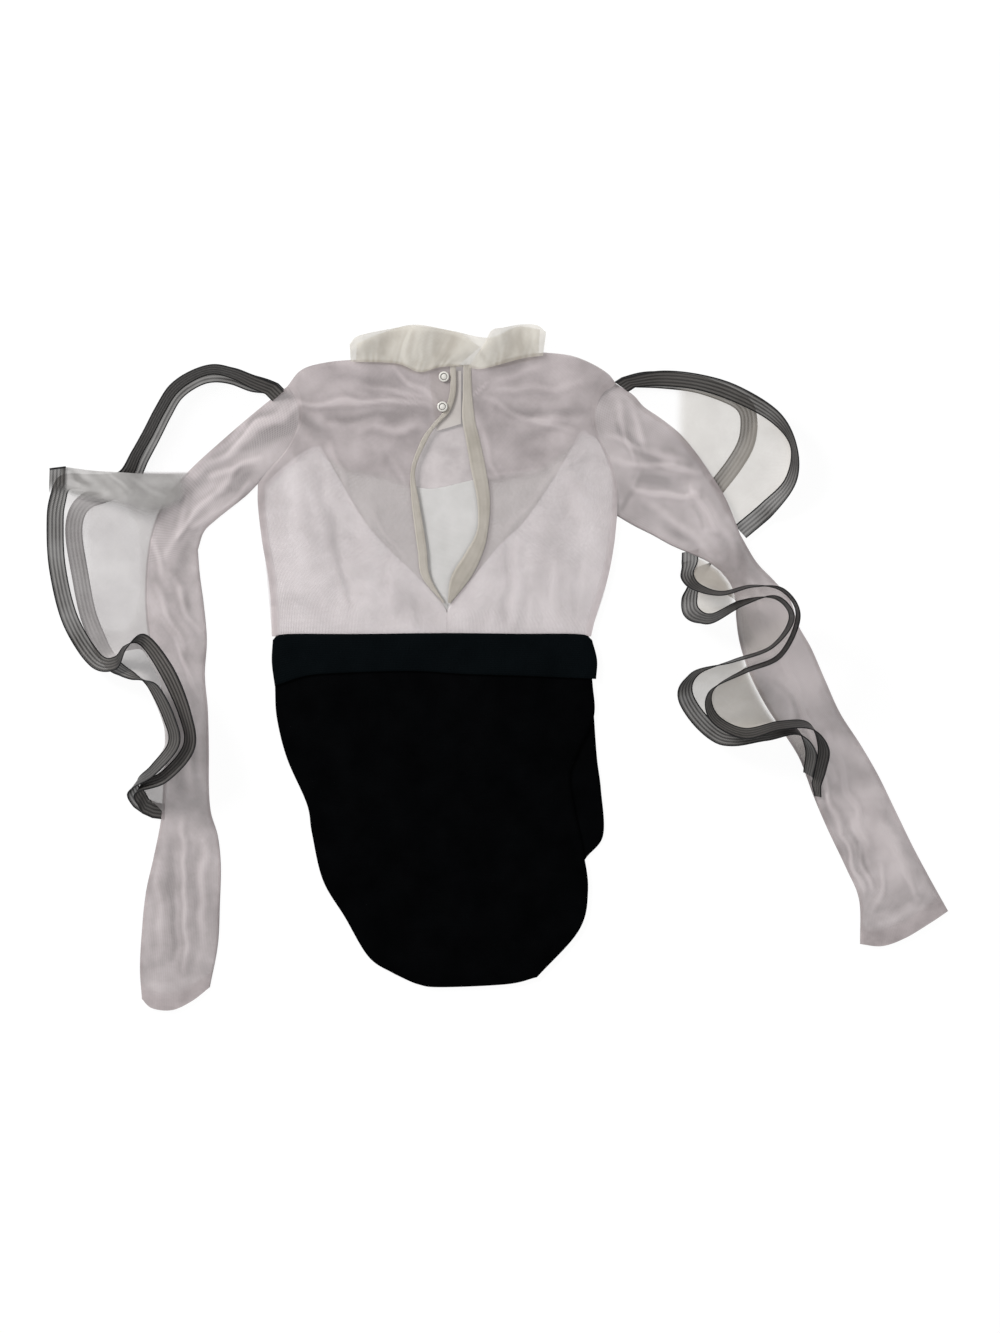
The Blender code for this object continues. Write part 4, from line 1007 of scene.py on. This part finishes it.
def knit_height(x, y, u, v):
    soft = ridge_height(BRIEF_RIDGES, x, y) + 0.8 * rumple(x, y, 34.0, 7.0)
    return BRIEF_BACK_Z + (BRIEF_PUFF + soft) * inside(u, v)


brief_back_points, brief_front_points = (
    tucked(panel(fitted(BRIEF_TOP, BRIEF_BOTTOM, BRIEF_LEFT, right, 80, 90), height), TUCK, 0.0)
    for right, height in ((BRIEF_RIGHT, knit_height), (HIP_RIGHT, lambda x, y, u, v: BRIEF_FRONT_Z)))
knit("brief_front_knit", brief_front_points, KNIT, "knit", "brief_front", BRIEF_THICK)
knit("brief_back_knit", brief_back_points, KNIT, "knit", "brief_back", BRIEF_THICK)


# Sleeves
def sleeve(side, armhole, outer, inner, elbow, cuff, ridges, shades, lift):
    """Flattened tube of sheer mesh from the armhole to the turned hem at the cuff."""
    columns = 48

    def seam(rows, bend):
        return spaced(rows[:bend + 1], 56) + spaced(rows[bend:], 98)[1:]

    plan = patch(spaced(armhole, columns), spaced(cuff, columns),
                 seam(outer, elbow[0]), seam(inner, elbow[1]), ENDS_HOLD)
    rows = len(plan) - 1
    upper, lower = [], []
    for r, line in enumerate(plan):
        v = r / rows
        base = lift * math.exp(-(((v - ELBOW_AT) / ELBOW_SPREAD) ** 2)) + SLEEVE_Z
        armhole_share = math.exp(-v * 9.0)
        cuff_share = smooth((v - 0.9) / 0.1)
        top, under = [], []
        for c, (x, y) in enumerate(line):
            u = c / columns
            crown = (1.0 - (2.0 * u - 1.0) ** 8) ** 0.5
            across = 1.0 - (2.0 * u - 1.0) ** 4
            root = armhole_share * SLEEVE_PUFF * smooth(u * 4.0)
            soft = ridge_height(ridges, x, y) + 0.9 * rumple(x, y, 24.0, 11.0)
            puff = across * (SLEEVE_PUFF * (1.0 - armhole_share) * (1.0 - cuff_share * 0.5)
                             + soft * inside(0.5, v))
            top.append((x, y, base + 0.6 * crown + root * across + puff))
            under.append((x, y, base - 0.8 * crown))
        upper.append(top)
        lower.append(under)
    ring = [top + under[-2::-1] for top, under in zip(upper, lower)]
    hem = near_edges(upper, HEM, "bottom")
    extra = added(scaled(near_edges(upper, SLEEVE_SEAM, "left", "right"), SLEEVE_SEAM_LAYERS), hem)
    layers = [
        [s + e for s, e in zip(line, more + [value + LOWER_WALL_LAYERS for value in more[-2::-1]])]
        for line, more in zip(steepness(ring), extra)
    ]
    # The ridges and the broad shades give the sleeve painted light and shade
    piece = surface("sleeve_" + side, ring, MESH, layers=layers, fold_shading=crease_shading_grid(ring, ridges + shades))
    keep(piece, "mesh", "sleeve_back_" + side, "sleeve_front_" + side)
    declare(ring)


sleeve("left", ARMHOLE_LEFT, LEFT_OUTER, LEFT_INNER, LEFT_ELBOW, LEFT_CUFF, LEFT_RIDGES, LEFT_SHADES, 0.0)
sleeve("right", ARMHOLE_RIGHT, RIGHT_OUTER, RIGHT_INNER, RIGHT_ELBOW, RIGHT_CUFF, RIGHT_RIDGES, RIGHT_SHADES,
       ELBOW_LIFT)


# Flounces
UP = Vector((0.0, 0.0, 1.0))


def unit(vector):
    """Unit vector, straight up where the vector has no length."""
    return vector.normalized() if vector.length > 1e-6 else UP.copy()


def cord_along(name, line, radius):
    """Fine cord along an edge of the braid."""
    sides = 6
    points = []
    for n, p in enumerate(line):
        ahead, behind = line[min(n + 1, len(line) - 1)], line[max(n - 1, 0)]
        forward = unit(Vector(ahead) - Vector(behind))
        side = unit(forward.cross(UP) if abs(forward.z) < 0.95 else Vector((1.0, 0.0, 0.0)))
        up = side.cross(forward)
        points.append([
            tuple(Vector(p) + side * radius * math.cos(2.0 * math.pi * k / sides)
                  + up * radius * math.sin(2.0 * math.pi * k / sides))
            for k in range(sides)
        ])
    return surface(name, points, CORD, closed=True)


def left_cover(x, y):
    """How many layers of flounce cloth show: hardly any above the fold, most below, fewer in a window."""
    fold = smooth((y - 471.5 + 3.0 * math.exp(-((x - 62.0) / 12.0) ** 2)) / 3.0)
    across, down = (x - 112.0) / 31.0, (y - 567.0) / 68.0
    window = smooth((1.0 - (abs(across) ** 2.6 + abs(down) ** 2.6)) / 0.25)
    window *= 1.0 - smooth((x - 140.0) / 4.0)
    beside = smooth((94.0 - x) / 10.0) * smooth((y - 500.0) / 12.0)
    return (LOOP_LAYERS + 2.2 * fold) * (1.0 - 0.26 * window) * (1.0 - 0.4 * beside)


def right_cover(x, y):
    """How many layers of flounce cloth show: few in the upper loop, most in the lower waves."""
    if y < 545.0:
        single = smooth(((x - 757.0) * 0.87 + (y - 410.0) * 0.49) / 8.0)
        return LOOP_LAYERS + smooth((x - 674.0) / 14.0) * (0.9 + 1.1 * single)
    beyond = smooth((at_height(RIGHT_INNER, y) - x) / 8.0)
    upper = 1.0 - smooth((y - 590.0) / 16.0)
    return 0.3 + 0.4 * upper + (1.9 + 1.4 * upper) * beyond


def flounce(name, seam, waves, over, cover, reach_under, start=None, tail=(), cut=1):
    """One flounce layer from the sleeve seam to its braid, with the braid and its edge cords.

    A start draws the braid on past its first row, and a tail takes the place of as many last rows as cut.
    """
    fine, steps, columns = 400, 12, 36
    seam_points = spaced(seam, fine)
    foot_z = OVER_FOOT_Z if over else UNDER_FOOT_Z
    cloth_rows, braid_rows = [], []
    for n in range((len(waves) - 1) * steps + 1):
        row = Wave(*on_curve(waves, n / steps))
        at = min(max(row.seam, 0.0), 1.0) * fine
        k = min(int(at), fine - 1)
        here, ahead = seam_points[k], seam_points[k + 1]
        steep = math.radians(row.steep)
        side = unit(Vector((here[1] - ahead[1], ahead[0] - here[0], 0.0)))
        grown = smooth(n / 24.0) if "wave" in name else 1.0
        foot = Vector((*between(here, ahead, at - k), foot_z)) - side * reach_under * grown
        if not over:
            foot += (side * UNDER_SHIFT + UP * (OVER_FOOT_Z - foot_z)) * math.sin(steep)
        inner = Vector((row.x, row.y, max(row.z, foot_z, LOWEST_EDGE_Z)))
        plan = Vector((row.out_x - row.x, row.out_y - row.y, 0.0))
        rise = math.sqrt(max(BRAID_WIDTH ** 2 - plan.length ** 2, 0.0))
        if not over:
            rise *= smooth(row.steep / 40.0)
        spread = math.sqrt(BRAID_WIDTH ** 2 - rise ** 2)
        lean = (unit(plan) * spread + UP * rise) / BRAID_WIDTH
        away = unit(Vector((inner.x - foot.x, inner.y - foot.y, 0.0)))
        leave = away * math.cos(steep) + UP * math.sin(steep)
        reach = (inner - foot).length
        line = []
        for c in range(columns + 1):
            t = c / columns
            point = foot * (1.0 - smooth(t)) + inner * smooth(t)
            point += leave * (reach * LEAVE_PULL * t * (1.0 - t) ** 2)
            point -= lean * (reach * ARRIVE_PULL * t * t * (1.0 - t))
            point.z = max(point.z, foot.z)
            line.append(tuple(point))
        cloth_rows.append(line)
        braid_rows.append([tuple(inner + lean * BRAID_WIDTH * share) for share in BRAID_PARTS])
    if start:
        first, shift = braid_rows[0], Vector((*start, -1.0))
        braid_rows[:0] = [[tuple(Vector(p) + shift * share) for p in first] for share in (1.0, 0.5)]
    if tail:
        braid_rows[-cut:] = [[between(inner, outer, share) for share in BRAID_PARTS] for inner, outer in tail]
    node = name.replace("flounce", "braid")
    braid = surface(node + "_ribbed", braid_rows, BRAID, layers=steepness(braid_rows))
    keep(braid, "braid", node)
    for label, column in (("inner", 0), ("outer", -1)):
        line = [row[column] for row in braid_rows]
        edge = cord_along(name.replace("flounce", "cord") + "_" + label, line, CORD_RADIUS)
        keep(edge, "braid")
    steep = steepness(cloth_rows, most=1.6)
    layers = [[s * cover(p[0], p[1]) for s, p in zip(*lines)] for lines in zip(steep, cloth_rows)]
    piece = surface(name + "_cloth", cloth_rows, FLOUNCE if "right" in name else LEFT_FLOUNCE, layers=layers)
    keep(piece, "mesh", name)
    declare(cloth_rows)


# The left over layer is folded along the top of its lower part, and the fold hides the turn of the braids
FOLD_TOP = [(62, 468), (67, 467.5), (93, 471), (120, 473), (150, 474.5), (192, 474)]
FOLD_BOTTOM = [(64, 490), (76, 497), (96, 501), (124, 507), (150, 516), (180, 504)]
FOLD_ROWS = 20
FOLD_Z = 9.2
# Creases of the fold that exist only as painted light and shade
FOLD_PAINTED_CREASES = [Ridge(*row) for row in (
    (67, 470, 92, 486, 3.5, -3.0), (66, 490, 100, 498, 3, -3.0), (69, 481, 80, 484, 3, 2.6),
    (110, 474, 132, 492, 2.5, 1.6), (92, 474, 120, 500, 5, -1.0), (134, 478, 160, 500, 3, 1.2),
    (140, 480, 176, 484, 6, 0.8),
)]


def fold_height(x, y, u, v):
    """Height that clears the braids under the fold, with a soft crown over their turn."""
    clear = FOLD_Z + 2.8 * smooth((x - 76.0) / 18.0) - 4.6 * smooth((x - 146.0) / 34.0)
    return clear + 9.0 * math.exp(-((x - 124.0) / 20.0) ** 2) + 0.6 * rumple(x, y, 12.0, 31.0)


fold_plan = fitted(FOLD_TOP, FOLD_BOTTOM, [FOLD_TOP[0], FOLD_BOTTOM[0]], [FOLD_TOP[-1], FOLD_BOTTOM[-1]],
                   90, FOLD_ROWS)
fold_points = panel(fold_plan, fold_height)
fold_layers = [
    [(0.6 + 5.0 * smooth((1.0 - r / FOLD_ROWS) * 3.0)) * smooth((x - 61.0) / 3.0) * smooth((190.0 - x) / 22.0)
     for x, _, _ in line]
    for r, line in enumerate(fold_points)
]
# The fold's creases are painted light and shade
fold = surface("flounce_left_fold", fold_points, FOLD, layers=fold_layers,
               fold_shading=crease_shading_grid(fold_points, FOLD_PAINTED_CREASES))
keep(fold, "mesh")

# The outer braid shows up to that fold and ends there in a dark crease
TURN_ROWS = 6
TURN_Z = 11.2
turn_points = [
    [(50.6 - 0.1 * r + (16.2 - 0.1 * r) * share, 469.5 - 2.0 * share + 4.0 * r, TURN_Z)
     for share in BRAID_PARTS]
    for r in range(TURN_ROWS + 1)
]
turn_layers = [[min(1.0, (TURN_ROWS - r) / 3.0)] * len(BRAID_PARTS) for r in range(TURN_ROWS + 1)]
turn = surface("braid_left_turn", turn_points, BRAID, layers=turn_layers)
turn_end = cord_along("cord_left_turn", [(x, y, TURN_Z + 0.5) for x, y, _ in turn_points[0]], CREASE_RADIUS)
keep(turn, "braid")
keep(turn_end, "braid")

# Rows at the end of a braid, as the inner and the outer edge
LEFT_OVER_TAIL = [((149.0, 799.5, 1.4), (142.5, 813.0, 1.4)), ((156.0, 803.0, 1.0), (152.5, 817.5, 1.2)),
                  ((165.0, 804.5, 0.9), (164.5, 819.0, 1.1))]
LEFT_UNDER_TAIL = [((149.0, 799.5, 0.8), (142.5, 812.8, 0.8)), ((156.0, 803.0, 0.8), (152.5, 817.3, 0.8)),
                   ((165.0, 804.5, 0.8), (164.5, 818.8, 0.8))]
RIGHT_OVER_TAIL = [((811.5, 783.0, 8.0), (820.0, 786.0, 10.0)), ((814.5, 796.0, 6.0), (820.5, 797.0, 6.0))]

flounce("flounce_left_over", LEFT_SEAM, LEFT_OVER, True, left_cover, LEFT_REACH, (7.0, 7.0),
        LEFT_OVER_TAIL, 6)
flounce("flounce_left_under", LEFT_SEAM, LEFT_UNDER, False, left_cover, LEFT_REACH, (7.0, 7.0),
        LEFT_UNDER_TAIL, 6)
flounce("flounce_right_over_arc", RIGHT_SEAM, RIGHT_OVER_ARC, True, right_cover, ARC_REACH, (-7.0, 4.5))
flounce("flounce_right_under_arc", RIGHT_SEAM, RIGHT_UNDER_ARC, False, right_cover, ARC_REACH, (-7.0, 4.5))
flounce("flounce_right_over_wave", RIGHT_SEAM, RIGHT_OVER_WAVE, True, right_cover, WAVE_REACH,
        tail=RIGHT_OVER_TAIL)
flounce("flounce_right_under_wave", RIGHT_SEAM, RIGHT_UNDER_WAVE, False, right_cover, WAVE_REACH)


# Floor, lights and camera
FLOOR_HALF = 6.0
FLOOR_Z = -0.0006
corners = [(x * FLOOR_HALF, y * FLOOR_HALF, FLOOR_Z) for x, y in ((-1, -1), (1, -1), (1, 1), (-1, 1))]
floor_mesh = bpy.data.meshes.new("floor")
floor_mesh.from_pydata(corners, [], [(0, 1, 2, 3)])
floor_mesh.materials.append(Look(
    "floor", Base_Color=(0.10, 0.10, 0.10, 1.0), Emission_Color=(1.0, 1.0, 1.0, 1.0), Emission_Strength=0.93,
    Roughness=0.9, Specular_IOR_Level=0.0).material)
floor = linked("floor", floor_mesh)

world = bpy.data.worlds.new("studio")
world.use_nodes = True
background = world.node_tree.nodes["Background"]
background.inputs["Color"].default_value = (1.0, 1.0, 1.0, 1.0)
background.inputs["Strength"].default_value = 0.42
bpy.context.scene.world = world


def area_light(name, position, size, watts):
    """Soft lamp aimed at the middle of the garment."""
    data = bpy.data.lights.new(name, "AREA")
    data.shape = "SQUARE"
    data.size = size
    data.energy = watts
    lamp = linked(name, data)
    lamp.location = position
    lamp.rotation_euler = (-Vector(position)).to_track_quat("-Z", "Y").to_euler()


area_light("key", (-1.9, 1.5, 1.5), 0.9, 62.0)
area_light("fill", (1.6, -0.6, 2.8), 2.4, 18.0)

CAMERA_HEIGHT = 5.0
SENSOR = 36.0
PHOTO_LONG_SIDE = 1.333
PHOTO_MIDDLE = (500.0, 666.5)
camera_data = bpy.data.cameras.new("camera")
camera_data.sensor_width = SENSOR
camera_data.lens = SENSOR * CAMERA_HEIGHT / PHOTO_LONG_SIDE
camera = linked("camera", camera_data)
camera.location = ((PHOTO_MIDDLE[0] - ORIGIN_X) * MM, (ORIGIN_Y - PHOTO_MIDDLE[1]) * MM, CAMERA_HEIGHT)
bpy.context.scene.camera = camera
bpy.context.scene.view_settings.view_transform = "Standard"
